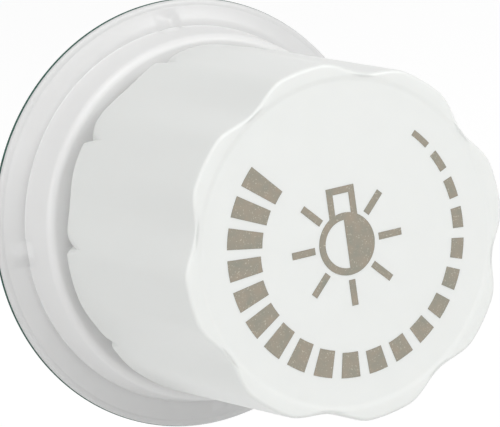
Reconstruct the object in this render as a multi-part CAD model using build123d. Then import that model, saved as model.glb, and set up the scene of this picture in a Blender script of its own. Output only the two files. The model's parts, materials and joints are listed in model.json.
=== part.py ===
from build123d import *
import os
from math import cos, degrees, pi, radians, sin

# Everything is modelled with +Z pointing out of the wall and the wall plate's face at z = 0,
# then laid over so that the front faces -Y and the lamp symbol stands upright along +Z.
# Clock angles run clockwise from the top as seen from the front. All sizes are in millimetres.

# Knob
knob_height = 23.4
knob_face_r = 16.2
knob_base_r = 16.65
lobe_count = 8
lobe_phase = 15.0
crest_half = 6.5
lobe_depth_face = 1.0
lobe_depth_base = 0.35
groove_count = 10
groove_phase = 21.0
groove_depth = 1.7
groove_steep = 0.5
groove_gentle = 3.2
groove_rise = 4.5
face_round = 0.35
face_dish_r = 14.9
face_dish = 0.1
face_wall = 2.3
skirt_wall_base = 2.95
skirt_wall_top = 1.7
hub_r = 5.5
hub_clear = 0.6
hub_end = 1.6
hub_bore_end = 0.3
web_count = 6
web_thick = 1.1
web_height = 3.6

# Print on the knob's face
mark_depth = 0.25
mark_proud = 0.02
bar_count = 20
bar_step = 13.846
bar_angle = 9.2
bar_outer_r = 12.0
bar_short = 0.56
bar_long = 3.83
lamp_r = 2.82
lamp_line = 0.64
ray_count = 7
ray_step = 45.0
ray_inner_r = 3.26
ray_outer_r = 5.59
ray_width = 0.64
base_width = 2.84
base_top = 5.16
base_line = 0.62

# Push travel and running gaps
push_travel = 1.3
ledge_gap = 0.5
running_gap = 0.08
slide_gap = 0.1
press_gap = 0.1
seam_gap = 0.05

# Shaft and its spring leaf in the hub
shaft_r = 3.0
shaft_flat = 2.3
shaft_chamfer = 0.4
journal_r = 2.0
drive_flat = 2.3
flat_below_hub = 0.4
leaf_thick = 0.4
leaf_width = 3.6
leaf_play = 0.02
leaf_low_end = 0.3
leaf_high_end = 0.2
clip_thick = 0.45
clip_r = 3.1
clip_groove = 0.4
clip_mouth = 2.4
clip_play = 0.02

# Collar, tower and neck of the front housing
collar_top_r = 17.3
collar_base_r = 17.85
collar_height = 4.4
collar_round = 0.45
collar_wall = 1.6
collar_web = 1.8
tower_r = 12.3
tower_bore_r = 11.0
tower_top = 15.6
tower_roof = 2.0
tower_round = 0.6
neck_r = 13.4
neck_bore_r = 11.7
neck_length = 9.0
thread_pitch = 1.5
thread_depth = 0.45
thread_crest = 0.35
key_width = 2.4
key_depth = 0.8

# Bezel ring, its ribs and its gasket
bezel_band = 2.5
bezel_crown = 1.56
bezel_bulge = 0.1
bezel_shoulder = 0.81
bezel_shoulder_in = 0.6
bezel_edge = 0.5
bezel_lip = 1.1
rib_count = 4
rib_width = 2.9
rib_rise = 0.8
rib_margin = 0.95
gasket_width = 1.75
gasket_margin = 0.05
gasket_thick = 0.38

# Slip washer and ring nut behind the wall plate
plate_thick = 2.5
washer_band = 2.6
washer_thick = 0.8
nut_band = 3.0
nut_thick = 3.3
nut_notches = 6
nut_notch_width = 3.0
nut_notch_depth = 1.2
nut_chamfer = 0.4
nut_gap = 0.05

# Bushing, lock washer and nut on the tower's roof
bushing_r = 4.5
bushing_above = 2.3
bushing_flange_r = 5.4
bushing_flange = 0.6
lock_washer_r = 6.4
lock_washer_thick = 0.5
bushing_nut_across = 11.0
bushing_nut_thick = 1.7

# Dimming control inside the tower
control_r = 8.6
control_wall = 0.8
control_roof = 1.4
control_base = 1.0
control_depth = 5.6
track_inner_r = 5.8
track_outer_r = 7.4
track_thick = 0.45
track_open = 60.0
rotor_r = 7.5
rotor_disc = 1.8
rotor_hub_r = 4.6
rotor_hub = 4.9
rotor_float = 0.05
wiper_width = 1.6
wiper_length = 1.3
wiper_foot = 1.9
wiper_gap = 0.05
pin_spacing = 2.5
pin_width = 1.0
pin_thick = 0.4
pin_x = 9.8

# Push switch under the dimming control
switch_roof = 1.1
switch_bore_r = 5.5
plunger_height = 2.35
ear_reach = 6.9
ear_width = 2.6
ear_height = 1.6
bridge_thick = 0.4
bridge_inner_r = 4.95
contact_r = 0.8
contact_stem_r = 0.4
contact_x = 6.15
contact_open = 0.1
pad_inset = 0.2
spring_inner_r = 3.75
spring_wire = 1.0

# Circuit board and what it carries
board_r = 11.4
board_thick = 1.6
board_z = -1.4
hole_gap = 0.05
rivet_inset = 0.2
pin_foot = 0.4
choke_x = -3.6
choke_y = 0.8
choke_r = 4.0
choke_height = 4.6
choke_core_r = 1.5
choke_flange = 0.7
choke_coil_r = 3.6
capacitor_x = 0.75
capacitor_y = 7.4
capacitor_width = 6.3
capacitor_depth = 3.6
capacitor_height = 8.0
triac_x = 0.3
triac_width = 7.6
triac_depth = 2.6
triac_height = 7.5
triac_y = -6.0
triac_lead = 1.2
triac_lead_width = 0.7
triac_pitch = 2.3
heat_sink_width = 8.2
heat_sink_thick = 1.0
heat_sink_height = 9.0
resistor_r = 0.75
resistor_length = 3.6
resistor_x = (1.9, 4.1)
lead_r = 0.25
lead_span = 0.9
fuse_x = 6.9
fuse_y = 0.6
fuse_r = 1.0
fuse_length = 4.4
fuse_cap = 1.0
diac_x = 3.6
diac_y = 4.3
diac_length = 2.0
chip_x = 2.8
chip_y = -4.0
chip_width = 2.4
chip_length = 2.2
chip_height = 1.0
trimmer_x = -4.6
trimmer_y = 7.4
trimmer_r = 1.9
trimmer_base_height = 6.6
trimmer_rotor_r = 1.3
trimmer_pivot_r = 0.6
trimmer_pivot = 1.3
trimmer_inset = 0.4
trimmer_slot = 0.45
trimmer_slot_depth = 0.6

# Rear cover and its screws
cover_r = 13.0
cover_wall = 1.2
cover_depth = 4.6
cover_round = 1.0
register_wall = 0.5
register_depth = 0.8
screw_x = 6.2
screw_y = 8.0
boss_r = 2.0
cover_screw_r = 1.0
cover_screw_head_r = 1.85
cover_screw_head = 0.7
cover_screw_recess = 0.8
cover_screw_length = 8.0
cover_screw_slot = 0.5
cover_screw_slot_depth = 0.5

# Terminal block, cages, bars and terminal screws
block_width = 17.2
block_height = 10.2
block_back = 18.0
block_depth = 9.5
block_edge = 0.5
block_ear = 0.9
block_ear_width = 6.0
block_ear_height = 1.2
terminal_count = 3
terminal_pitch = 5.6
cage_width = 4.4
cage_depth = 4.0
cage_height = 6.0
cage_low = -1.9
cage_floor = 1.0
cage_roof = 0.8
cage_side = 0.6
cage_travel = 1.4
cage_gap = 0.1
back_wall = 1.0
wire_hole_r = 1.3
wire_y = 1.75
contact_bar_low = -0.4
contact_bar_thick = 0.7
contact_bar_width = 2.6
contact_bar_drop = -4.2
contact_bar_foot = 0.5
terminal_screw_r = 1.2
terminal_head_r = 1.9
terminal_head = 1.0
terminal_head_inset = 0.1
terminal_web = 0.5
terminal_slot = 0.5
terminal_slot_depth = 0.55
terminal_end_gap = 0.3

# Places that follow from the sizes above
collar_top = bezel_lip + collar_height
knob_low = collar_top + ledge_gap + push_travel
face_z = knob_low + knob_height
knob_roof = face_z - face_wall
bushing_top = tower_top + bushing_above
hub_low = bushing_top + push_travel + hub_clear
shaft_top = knob_roof - hub_end
bezel_seam_r = collar_base_r + seam_gap
bezel_r = bezel_seam_r + bezel_band
gasket_outer_r = bezel_r - gasket_margin
gasket_inner_r = gasket_outer_r - gasket_width
control_top = tower_top - tower_roof
control_low = control_top - control_roof
case_floor = control_low - control_depth
switch_top = case_floor - control_base
switch_low = board_z
plunger_top = switch_top - switch_roof - press_gap
plunger_low = plunger_top - plunger_height
rotor_low = case_floor + rotor_float
track_low = control_low - track_thick
board_low = board_z - board_thick
cover_back = -neck_length - cover_depth
washer_r = neck_r + washer_band
washer_z = -plate_thick
nut_r = neck_r + nut_band
nut_z = washer_z - washer_thick - nut_gap
cage_back = -block_back + back_wall + cage_gap


def at_clock(radius, clock):
    """Point on a circle about the knob's axis."""
    return radius * sin(radians(clock)), radius * cos(radians(clock))


def turned(points):
    """Solid of revolution about Z from a closed outline of (radius, z) points."""
    return revolve(make_face(Plane.XZ * Polyline(*points, close=True)), Axis.Z, 360)


def disc(radius, low, high, x=0.0, y=0.0):
    """Plain cylinder between two heights."""
    return Pos(x, y, low) * extrude(Circle(radius), high - low)


def ring(inner, outer, low, high, x=0.0, y=0.0):
    """Plain tube between two heights."""
    return Pos(x, y, low) * extrude(Circle(outer) - Circle(inner), high - low)


def block(x0, x1, y0, y1, low, high):
    """Box between two corners."""
    return Pos((x0 + x1) / 2, (y0 + y1) / 2, (low + high) / 2) * Box(x1 - x0, y1 - y0, high - low)


def together(parts):
    """Separate solids of one node."""
    return Compound([solid for part in parts for solid in part.solids()])


def hoops(shape, radius, z):
    """Circular edges of one radius at one height."""
    found = [e for e in shape.edges().filter_by(GeomType.CIRCLE)
             if abs(e.radius - radius) < 0.01 and abs(e.arc_center.Z - z) < 0.01]
    return ShapeList(found)


def lobed_face(crest_r, depth, z):
    """Cross-section of the knob: flat-topped lobes joined by smooth valleys."""
    step = 360.0 / lobe_count
    edges = []
    for i in range(lobe_count):
        crest = lobe_phase + step / 2 + step * i
        start, middle, end = crest - crest_half, crest, crest + crest_half
        edges.append(ThreePointArc(*[at_clock(crest_r, c) for c in (start, middle, end)]))
        after = crest + step - crest_half
        points = []
        for k in range(9):
            dip = depth * (1 - cos(2 * pi * k / 8)) / 2
            points.append(at_clock(crest_r - dip, end + (after - end) * k / 8))
        along = [(cos(radians(c)), -sin(radians(c))) for c in (end, after)]
        edges.append(Spline(*points, tangents=along))
    return Pos(0, 0, z) * make_face(edges)


def base_groove():
    """Cutter at the top of the clock for one notch that fades out up the knob's wall.

    One side is steep, and the other curves gently out to the wall, so that the lobes overlap like petals.
    """
    steep, gentle = degrees(groove_steep / knob_base_r), degrees(groove_gentle / knob_base_r)
    sections = []
    for z in (knob_low - 1, knob_low + groove_rise + 1):
        tip = knob_base_r - groove_depth + groove_depth / groove_rise * (z - knob_low)
        outline = [at_clock(tip + groove_depth * (1 - (1 - share) ** 2), gentle * share)
                   for share in (0, 1 / 3, 2 / 3, 1)]
        outline += [at_clock(tip + 2 * groove_depth, gentle), at_clock(tip + 2 * groove_depth, -2 * steep)]
        sections.append(Pos(0, 0, z) * make_face(Polyline(*outline, close=True)))
    return loft(sections, ruled=True)


def level_bar(index, low, high):
    """One printed bar; each is longer than the last."""
    length = bar_short + (bar_long - bar_short) * index / (bar_count - 1)
    clock = 180.0 + (index - (bar_count - 1) / 2) * bar_step
    first, last = clock - bar_angle / 2, clock + bar_angle / 2
    inner_r = bar_outer_r - length
    outline = [
        Line(at_clock(inner_r, first), at_clock(bar_outer_r, first)),
        ThreePointArc(*[at_clock(bar_outer_r, c) for c in (first, clock, last)]),
        Line(at_clock(bar_outer_r, last), at_clock(inner_r, last)),
        ThreePointArc(*[at_clock(inner_r, c) for c in (last, clock, first)]),
    ]
    return Pos(0, 0, low) * extrude(make_face(outline), high - low)


def lamp_shapes(low, high):
    """Printed lamp: a ring filled on its right half, its base above and rays all round."""
    bulb = Circle(lamp_r) - Circle(lamp_r - lamp_line)
    half = Circle(lamp_r) & (Pos(lamp_r / 2, 0) * Rectangle(lamp_r, 2 * lamp_r))
    foot_low = (lamp_r ** 2 - (base_width / 2) ** 2) ** 0.5 - lamp_line
    foot = Pos(0, (base_top + foot_low) / 2) * Rectangle(base_width, base_top - foot_low)
    hollow_width, hollow_top = base_width - 2 * base_line, base_top - base_line
    foot -= Pos(0, hollow_top / 2) * Rectangle(hollow_width, hollow_top)
    foot -= Circle(lamp_r - lamp_line)
    lamp = bulb + half + foot
    solids = [Pos(0, 0, low) * extrude(lamp, high - low)]
    ray = Rectangle(ray_width, ray_outer_r - ray_inner_r)
    for i in range(1, ray_count + 1):
        placed = Rot(Z=-ray_step * i) * Pos(0, (ray_outer_r + ray_inner_r) / 2) * ray
        solids.append(Pos(0, 0, low) * extrude(placed, high - low))
    return solids


def knob_cap():
    """Moulded knob: lobed skirt with grooves at its foot, dished face, webbed hub and print pockets."""
    body = loft([lobed_face(knob_base_r, lobe_depth_base, knob_low),
                 lobed_face(knob_face_r, lobe_depth_face, face_z)], ruled=True)
    body = fillet(body.edges().group_by(Axis.Z)[-1], face_round)
    base_in, top_in = knob_base_r - skirt_wall_base, knob_face_r - lobe_depth_face - skirt_wall_top
    body -= turned([(0, knob_low - 1), (base_in, knob_low - 1), (base_in, knob_low),
                    (top_in, knob_roof), (0, knob_roof)])
    body -= disc(face_dish_r, face_z - face_dish, face_z + 1)
    for i in range(groove_count):
        body -= Rot(Z=-groove_phase - 360 / groove_count * i) * base_groove()
    inside = disc(hub_r, hub_low, knob_roof)
    for i in range(web_count):
        web = block(hub_r - 1, top_in + 0.5, -web_thick / 2, web_thick / 2, knob_roof - web_height, knob_roof)
        inside += Rot(Z=360 / web_count * (i + 0.5)) * web
    body += inside
    bore_top = shaft_top + hub_bore_end
    bore = disc(shaft_r + running_gap, hub_low, bore_top)
    flat_x = shaft_flat + leaf_play
    bore -= block(flat_x, 2 * shaft_r, -shaft_r * 2, shaft_r * 2, hub_low, bore_top)
    slot = block(flat_x - 1, flat_x + leaf_thick + 2 * leaf_play, -leaf_width / 2 - slide_gap,
                 leaf_width / 2 + slide_gap, hub_low, shaft_top)
    body -= bore + slot
    pocket_z = face_z - face_dish
    for i in range(bar_count):
        body -= level_bar(i, pocket_z - mark_depth, pocket_z + 1)
    for shape in lamp_shapes(pocket_z - mark_depth, pocket_z + 1):
        body -= shape
    return body


def level_bars():
    """The twenty printed bars."""
    low = face_z - face_dish - mark_depth
    return together([level_bar(i, low, low + mark_depth + mark_proud) for i in range(bar_count)])


def lamp_symbol():
    """The printed lamp and its rays."""
    low = face_z - face_dish - mark_depth
    return together(lamp_shapes(low, low + mark_depth + mark_proud))


def knob_spring():
    """Steel leaf that grips the shaft's flat."""
    x0 = shaft_flat + leaf_play
    return block(x0, x0 + leaf_thick, -leaf_width / 2, leaf_width / 2,
                 hub_low + leaf_low_end, shaft_top - leaf_high_end)


def drive_section(gap):
    """Round section with two flats, by which the shaft turns the rotor and slides through it."""
    section = Circle(shaft_r + gap)
    return section & Rectangle(4 * shaft_r, 2 * (drive_flat + gap))


def shaft():
    """Steel shaft: journal, two-flat drive, round bearing and single flat for the knob."""
    journal_low = plunger_low - clip_thick - 2 * clip_groove
    drive_top = bushing_top - bushing_above - tower_roof
    drive_low = plunger_top + hole_gap
    body = disc(journal_r, journal_low, drive_low)
    body += Pos(0, 0, drive_low) * extrude(drive_section(0), drive_top - drive_low)
    body += disc(shaft_r, drive_top, shaft_top)
    body = chamfer(hoops(body, shaft_r, shaft_top), shaft_chamfer)
    body -= block(shaft_flat, 2 * shaft_r, -shaft_r, shaft_r, hub_low - flat_below_hub, shaft_top + 1)
    groove_high = plunger_low - hole_gap + clip_play
    body -= ring(journal_r - clip_groove, journal_r + 1, groove_high - clip_thick - 2 * clip_play, groove_high)
    return body


def shaft_clip():
    """Open spring clip that keeps the shaft in the plunger."""
    high = plunger_low - hole_gap
    clip = ring(journal_r - clip_groove + clip_play, clip_r, high - clip_thick, high)
    clip -= block(0, clip_r * 2, -clip_mouth / 2, clip_mouth / 2, high - 1, high + 1)
    return clip


def plunger():
    """Slider that carries the shaft's foot; its two ears stop it from turning."""
    body = disc(switch_bore_r - slide_gap, plunger_low, plunger_top)
    body += block(-ear_reach, ear_reach, -ear_width / 2, ear_width / 2, plunger_low, plunger_low + ear_height)
    body -= disc(journal_r + running_gap, plunger_low - 1, plunger_top + 1)
    return body


def contact_bridge():
    """Brass ring with two pads under the plunger's ears."""
    high, low = plunger_low, plunger_low - bridge_thick
    body = ring(bridge_inner_r, switch_bore_r - slide_gap, low, high)
    half = ear_width / 2 - pad_inset
    pads = block(-ear_reach, ear_reach, -half, half, low, high)
    body += pads - disc(bridge_inner_r, low - 1, high + 1)
    return body


def return_spring():
    """Return spring of the push action, drawn as its envelope."""
    return ring(spring_inner_r, spring_inner_r + spring_wire, switch_low + control_wall, plunger_low)


def switch_case():
    """Round case of the push switch, open below, with slots for the plunger's ears."""
    body = disc(control_r, switch_low + control_wall, switch_top)
    low, high = switch_low, plunger_top + press_gap
    body -= disc(switch_bore_r, low, high)
    reach = ear_reach + slide_gap
    body -= block(-reach, reach, -ear_width / 2 - slide_gap, ear_width / 2 + slide_gap, low, high)
    body -= disc(shaft_r + 3 * slide_gap, high - 1, switch_top + 1)
    return body


def switch_base():
    """Floor plate that closes the push switch."""
    body = disc(control_r, switch_low, switch_low + control_wall)
    for x in (-contact_x, contact_x):
        body -= disc(contact_stem_r + hole_gap, switch_low - 1, switch_top, x)
    return body


def fixed_contacts():
    """Two contact rivets, soldered into the board."""
    floor = switch_low + control_wall
    top = plunger_low - bridge_thick - push_travel - contact_open
    parts = []
    for x in (-contact_x, contact_x):
        head = disc(contact_r, floor, top, x)
        parts.append(head + disc(contact_stem_r, board_low + rivet_inset, floor, x))
    return together(parts)


def front_housing():
    """Collar, tower and threaded neck in one moulding."""
    step_z = board_z
    body = turned([
        (neck_bore_r, -neck_length), (neck_r, -neck_length), (neck_r, bezel_lip),
        (neck_r + collar_web, bezel_lip), (neck_r + collar_web, collar_top - collar_web),
        (collar_base_r - collar_wall, collar_top - collar_web), (collar_base_r - collar_wall, bezel_lip),
        (collar_base_r, bezel_lip), (collar_top_r, collar_top), (tower_r, collar_top),
        (tower_r, tower_top), (bushing_r + slide_gap, tower_top),
        (bushing_r + slide_gap, control_top), (tower_bore_r, control_top),
        (tower_bore_r, step_z), (neck_bore_r, step_z)])
    body = fillet(hoops(body, collar_top_r, collar_top), collar_round)
    body = fillet(hoops(body, tower_r, tower_top), tower_round)
    turns = int((neck_length - 2 * thread_crest) / thread_pitch)
    half = (thread_pitch - thread_crest) / 2
    for i in range(turns):
        z = -neck_length + thread_crest + half + thread_pitch * i
        body -= turned([(neck_r - thread_depth, z), (neck_r + 0.1, z - half), (neck_r + 0.1, z + half)])
    for side in (-1, 1):
        boss = disc(boss_r, -neck_length, step_z, side * screw_x, side * screw_y)
        body += boss & disc(neck_bore_r + 0.5, -neck_length, step_z)
        body -= disc(cover_screw_r + hole_gap, -neck_length - 1, board_low - 1,
                     side * screw_x, side * screw_y)
    body -= block(neck_r - key_depth, neck_r + 1, -key_width / 2, key_width / 2, -neck_length - 1, 0)
    return body


def bezel_ring():
    """Flange ring: flat back with a rebate for the gasket, domed band, four ribs and a lip under the collar."""
    shoulder_r = bezel_r - bezel_shoulder_in
    edge_mid = (bezel_r - bezel_shoulder_in * 0.28, (bezel_edge + 2 * bezel_shoulder) / 3)
    band_mid = ((shoulder_r + bezel_seam_r) / 2, (bezel_shoulder + bezel_crown) / 2 + bezel_bulge)
    bore_r = neck_r + seam_gap
    profile = [
        Polyline((bezel_seam_r, bezel_crown), (bezel_seam_r, bezel_lip), (bore_r, bezel_lip), (bore_r, 0),
                 (gasket_inner_r, 0), (gasket_inner_r, gasket_thick), (bezel_r, gasket_thick),
                 (bezel_r, bezel_edge)),
        ThreePointArc((bezel_r, bezel_edge), edge_mid, (shoulder_r, bezel_shoulder)),
        ThreePointArc((shoulder_r, bezel_shoulder), band_mid, (bezel_seam_r, bezel_crown)),
    ]
    body = revolve(make_face([Plane.XZ * edge for line in profile for edge in line.edges()]), Axis.Z, 360)
    barrel_r = ((rib_width / 2) ** 2 + rib_rise ** 2) / (2 * rib_rise)
    fall = (bezel_crown - bezel_shoulder) / (shoulder_r - bezel_seam_r)
    zone = ring(bezel_seam_r, bezel_r - rib_margin, bezel_edge, 2 * bezel_crown + rib_rise)
    barrel = Rot(Y=90 + fall * 180 / pi) * Cylinder(barrel_r, 4 * bezel_band)
    for i in range(rib_count):
        rib = (Pos(bezel_seam_r, 0, bezel_crown + rib_rise - barrel_r) * barrel) & zone
        body += Rot(Z=360 / rib_count * i) * rib
    return body


def face_gasket():
    """Rubber seal in the rebate behind the bezel ring's edge."""
    return ring(gasket_inner_r, gasket_outer_r, 0, gasket_thick)


def slip_washer():
    """Keyed steel washer that slides along the neck without turning."""
    high, low = washer_z, washer_z - washer_thick
    body = ring(neck_r + running_gap, washer_r, low, high)
    tab_r = neck_r - key_depth + slide_gap
    body += block(tab_r, neck_r + 1, -key_width / 2 + slide_gap, key_width / 2 - slide_gap, low, high)
    return body


def ring_nut():
    """Castellated nut that clamps the wall plate."""
    high, low = nut_z, nut_z - nut_thick
    body = ring(neck_r + running_gap, nut_r, low, high)
    body = chamfer(hoops(body, nut_r, low) + hoops(body, nut_r, high), nut_chamfer)
    for i in range(nut_notches):
        notch = block(nut_r - nut_notch_depth, nut_r + 1, -nut_notch_width / 2, nut_notch_width / 2,
                      low, high)
        body -= Rot(Z=360 / nut_notches * (i + 0.5)) * notch
    return body


def bushing():
    """Brass bushing: flange inside the control, threaded barrel through the tower's roof."""
    body = disc(bushing_r, control_low, bushing_top)
    body += disc(bushing_flange_r, control_low - bushing_flange, control_low)
    body = chamfer(hoops(body, bushing_r, bushing_top), shaft_chamfer)
    return body - disc(shaft_r + running_gap, 0, face_z)


def lock_washer():
    """Spring washer under the bushing nut."""
    body = ring(bushing_r + hole_gap, lock_washer_r, tower_top, tower_top + lock_washer_thick)
    return body


def bushing_nut():
    """Hexagonal nut that holds the bushing to the tower."""
    low = tower_top + lock_washer_thick
    hexagon = RegularPolygon(bushing_nut_across / 2, 6, major_radius=False)
    return Pos(0, 0, low) * extrude(hexagon - Circle(bushing_r + hole_gap), bushing_nut_thick)


def control_case():
    """Cup of the dimming control, with slots for its three pins."""
    body = disc(control_r, case_floor, control_top)
    body -= disc(control_r - control_wall, case_floor - 1, control_low)
    body -= disc(bushing_r + hole_gap, control_low - 1, control_top + 1)
    for i in (-1, 0, 1):
        y = i * pin_spacing
        half = pin_width / 2 + hole_gap
        body -= block(-control_r - 1, -track_outer_r, y - half, y + half, case_floor, control_low)
    return body


def control_floor():
    """Plate that closes the dimming control below."""
    return ring(shaft_r + 3 * slide_gap, control_r, switch_top, case_floor)


def resistor_track():
    """Carbon track on the underside of the control's roof, open over one sector."""
    body = ring(track_inner_r, track_outer_r, track_low, control_low)
    gap = radians(track_open / 2)
    reach = 2 * track_outer_r
    corners = [(0, 0), (reach * cos(gap), -reach * sin(gap)), (reach * cos(gap), reach * sin(gap))]
    wedge = Pos(0, 0, track_low - 1) * extrude(make_face(Polyline(*corners, close=True)), 3)
    return body - wedge


def control_pins():
    """Three pins from the track down to the board."""
    parts = []
    for i in (-1, 0, 1):
        y0, y1 = i * pin_spacing - pin_width / 2, i * pin_spacing + pin_width / 2
        pin = block(-pin_x, -pin_x + pin_thick, y0, y1, board_low - pin_foot, control_low)
        pin += block(-pin_x, -track_outer_r, y0, y1, control_low - pin_thick, control_low)
        parts.append(pin)
    return together(parts)


def wiper_rotor():
    """Rotor driven by the shaft's flats; the shaft slides through it."""
    disc_low = rotor_low + (rotor_hub - rotor_disc) / 2
    body = disc(rotor_hub_r, rotor_low, rotor_low + rotor_hub)
    body += disc(rotor_r, disc_low, disc_low + rotor_disc)
    return body - Pos(0, 0, rotor_low - 1) * extrude(drive_section(running_gap), rotor_hub + 2)


def wiper_contact():
    """Brass finger that runs along the track."""
    low = rotor_low + (rotor_hub + rotor_disc) / 2
    mid = (track_inner_r + track_outer_r) / 2
    foot = block(mid - wiper_length / 2, mid + wiper_length / 2, -wiper_foot, wiper_width / 2,
                 low, low + pin_thick)
    arm = block(mid - wiper_length / 2, mid + wiper_length / 2, -wiper_width / 2, wiper_width / 2,
                low, track_low - wiper_gap)
    return Rot(Z=180) * (foot + arm)


def circuit_board():
    """Round board seated on the step inside the neck, notched for the cover's bosses."""
    body = disc(board_r, board_low, board_z)
    for side in (-1, 1):
        body -= disc(boss_r + 2 * slide_gap, board_low - 1, board_z + 1, side * screw_x, side * screw_y)
        body -= disc(contact_stem_r + hole_gap, board_low - 1, board_z + 1, side * contact_x)
    for i in (-1, 0, 1):
        y0, y1 = i * pin_spacing - pin_width / 2 - hole_gap, i * pin_spacing + pin_width / 2 + hole_gap
        body -= block(-pin_x - hole_gap, -pin_x + pin_thick + hole_gap, y0, y1, board_low - 1, board_z + 1)
        x = i * terminal_pitch
        half = contact_bar_width / 2 + hole_gap
        drop0, drop1 = contact_bar_drop - contact_bar_thick - hole_gap, contact_bar_drop + hole_gap
        body -= block(x - half, x + half, drop0, drop1, board_low - 1, board_z + 1)
    return body


def choke_bobbin():
    """Ferrite drum of the choke."""
    high, low = board_low, board_low - choke_height
    body = disc(choke_core_r, low, high, choke_x, choke_y)
    body += disc(choke_r, high - choke_flange, high, choke_x, choke_y)
    return body + disc(choke_r, low, low + choke_flange, choke_x, choke_y)


def choke_coil():
    """Copper winding on the choke's drum, drawn as its envelope."""
    high, low = board_low - choke_flange, board_low - choke_height + choke_flange
    return ring(choke_core_r, choke_coil_r, low, high, choke_x, choke_y)


def film_capacitor():
    """Box capacitor."""
    x0, y0 = capacitor_x - capacitor_width / 2, capacitor_y - capacitor_depth / 2
    body = block(x0, x0 + capacitor_width, y0, y0 + capacitor_depth, board_low - capacitor_height, board_low)
    return fillet(body.edges().filter_by(Axis.Z), 0.4)


def triac():
    """Power switch: moulded body and three leads into the board."""
    high = board_low - triac_lead
    x0, x1 = triac_x - triac_width / 2, triac_x + triac_width / 2
    body = block(x0, x1, triac_y - triac_depth, triac_y, high - triac_height, high)
    for i in (-1, 0, 1):
        x = triac_x + i * triac_pitch
        half = triac_lead_width / 2
        mid = triac_y - triac_depth / 2
        body += block(x - half, x + half, mid - half, mid + half, high, board_low)
    return body


def heat_sink():
    """Aluminium plate behind the power switch."""
    high = board_low
    x0, x1 = triac_x - heat_sink_width / 2, triac_x + heat_sink_width / 2
    y1 = triac_y - triac_depth
    return block(x0, x1, y1 - heat_sink_thick, y1, high - heat_sink_height, high)


def axial(radius, length, x, y, along_x):
    """Axial component lying on the board: body and two bent leads."""
    z = board_low - radius - 0.25
    body = Rot(Y=90) * Cylinder(radius, length)
    reach = length / 2 + lead_span
    lead = Rot(Y=90) * Cylinder(lead_r, 2 * reach)
    drop = Pos(reach - lead_r, 0, (board_low - z) / 2) * Cylinder(lead_r, board_low - z)
    part = body + lead + drop + Rot(Z=180) * drop
    turn = 0 if along_x else 90
    return Pos(x, y, z) * Rot(Z=turn) * part


def resistors():
    """Two axial resistors."""
    return together([axial(resistor_r, resistor_length, x, 0, False) for x in resistor_x])


def diac():
    """Glass trigger diode."""
    return axial(resistor_r, diac_length, diac_x, diac_y, True)


def fuse():
    """Small glass fuse with metal end caps standing on the board."""
    z = board_low - fuse_r
    body = Rot(X=90) * Cylinder(fuse_r - 0.1, fuse_length)
    for side in (-1, 1):
        body += Pos(0, side * (fuse_length + fuse_cap) / 2, 0) * Rot(X=90) * Cylinder(fuse_r, fuse_cap)
    return Pos(fuse_x, fuse_y, z) * body


def control_chip():
    """Control chip on the board."""
    x0, y0 = chip_x - chip_width / 2, chip_y - chip_length / 2
    return block(x0, x0 + chip_width, y0, y0 + chip_length, board_low - chip_height, board_low)


def trimmer_base():
    """Fixed body of the trimmer for the lowest light level."""
    low = board_low - trimmer_base_height
    body = disc(trimmer_r, low, board_low, trimmer_x, trimmer_y)
    pivot_high = low + trimmer_pivot + slide_gap
    return body - disc(trimmer_pivot_r + running_gap, low - 1, pivot_high, trimmer_x, trimmer_y)


def trimmer_rotor():
    """Slotted rotor of the trimmer, reached through the rear cover."""
    high, low = board_low - trimmer_base_height - hole_gap, cover_back + trimmer_inset
    body = disc(trimmer_rotor_r, low, high, trimmer_x, trimmer_y)
    body += disc(trimmer_pivot_r, high, high + trimmer_pivot, trimmer_x, trimmer_y)
    x0, x1 = trimmer_x - trimmer_slot / 2, trimmer_x + trimmer_slot / 2
    reach = 2 * trimmer_rotor_r
    return body - block(x0, x1, trimmer_y - reach, trimmer_y + reach, low - 1, low + trimmer_slot_depth)


def rear_cover():
    """Rear cup with a register inside the neck, screw pillars and openings for block and trimmer."""
    high = -neck_length
    body = disc(cover_r, cover_back, high)
    body = fillet(hoops(body, cover_r, cover_back), cover_round)
    inner_r = cover_r - cover_wall
    body -= disc(inner_r, cover_back + cover_wall, high + 1)
    register_r = neck_bore_r - slide_gap
    lip = ring(register_r - register_wall, register_r, high, high + register_depth)
    lip += ring(register_r - register_wall, inner_r + 0.2, high - register_depth, high)
    body += lip
    for side in (-1, 1):
        x, y = side * screw_x, side * screw_y
        body -= disc(boss_r + 2 * slide_gap, high, high + 2, x, y)
        body += disc(boss_r, cover_back + cover_wall, high, x, y) & disc(cover_r - 0.2, cover_back, high)
        body -= disc(cover_screw_r + slide_gap, cover_back - 1, high + 1, x, y)
        body -= disc(cover_screw_head_r + slide_gap, cover_back - 1, cover_back + cover_screw_recess, x, y)
    half_x, half_y = block_width / 2 + slide_gap, block_height / 2 + slide_gap
    body -= block(-half_x, half_x, -half_y, half_y, cover_back - 1, cover_back + cover_wall + 0.1)
    body -= disc(trimmer_rotor_r + 2 * slide_gap, cover_back - 1, -neck_length - 1, trimmer_x, trimmer_y)
    return body


def cover_screws():
    """Two slotted screws that hold the rear cover."""
    parts = []
    seat = cover_back + cover_screw_recess
    for side in (-1, 1):
        x, y = side * screw_x, side * screw_y
        head = disc(cover_screw_head_r, seat - cover_screw_head, seat, x, y)
        low, reach = seat - cover_screw_head, 2 * cover_screw_head_r
        head -= block(x - reach, x + reach, y - cover_screw_slot / 2, y + cover_screw_slot / 2,
                      low - 1, low + cover_screw_slot_depth)
        parts.append(head + disc(cover_screw_r, seat, seat + cover_screw_length, x, y))
    return together(parts)


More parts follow.
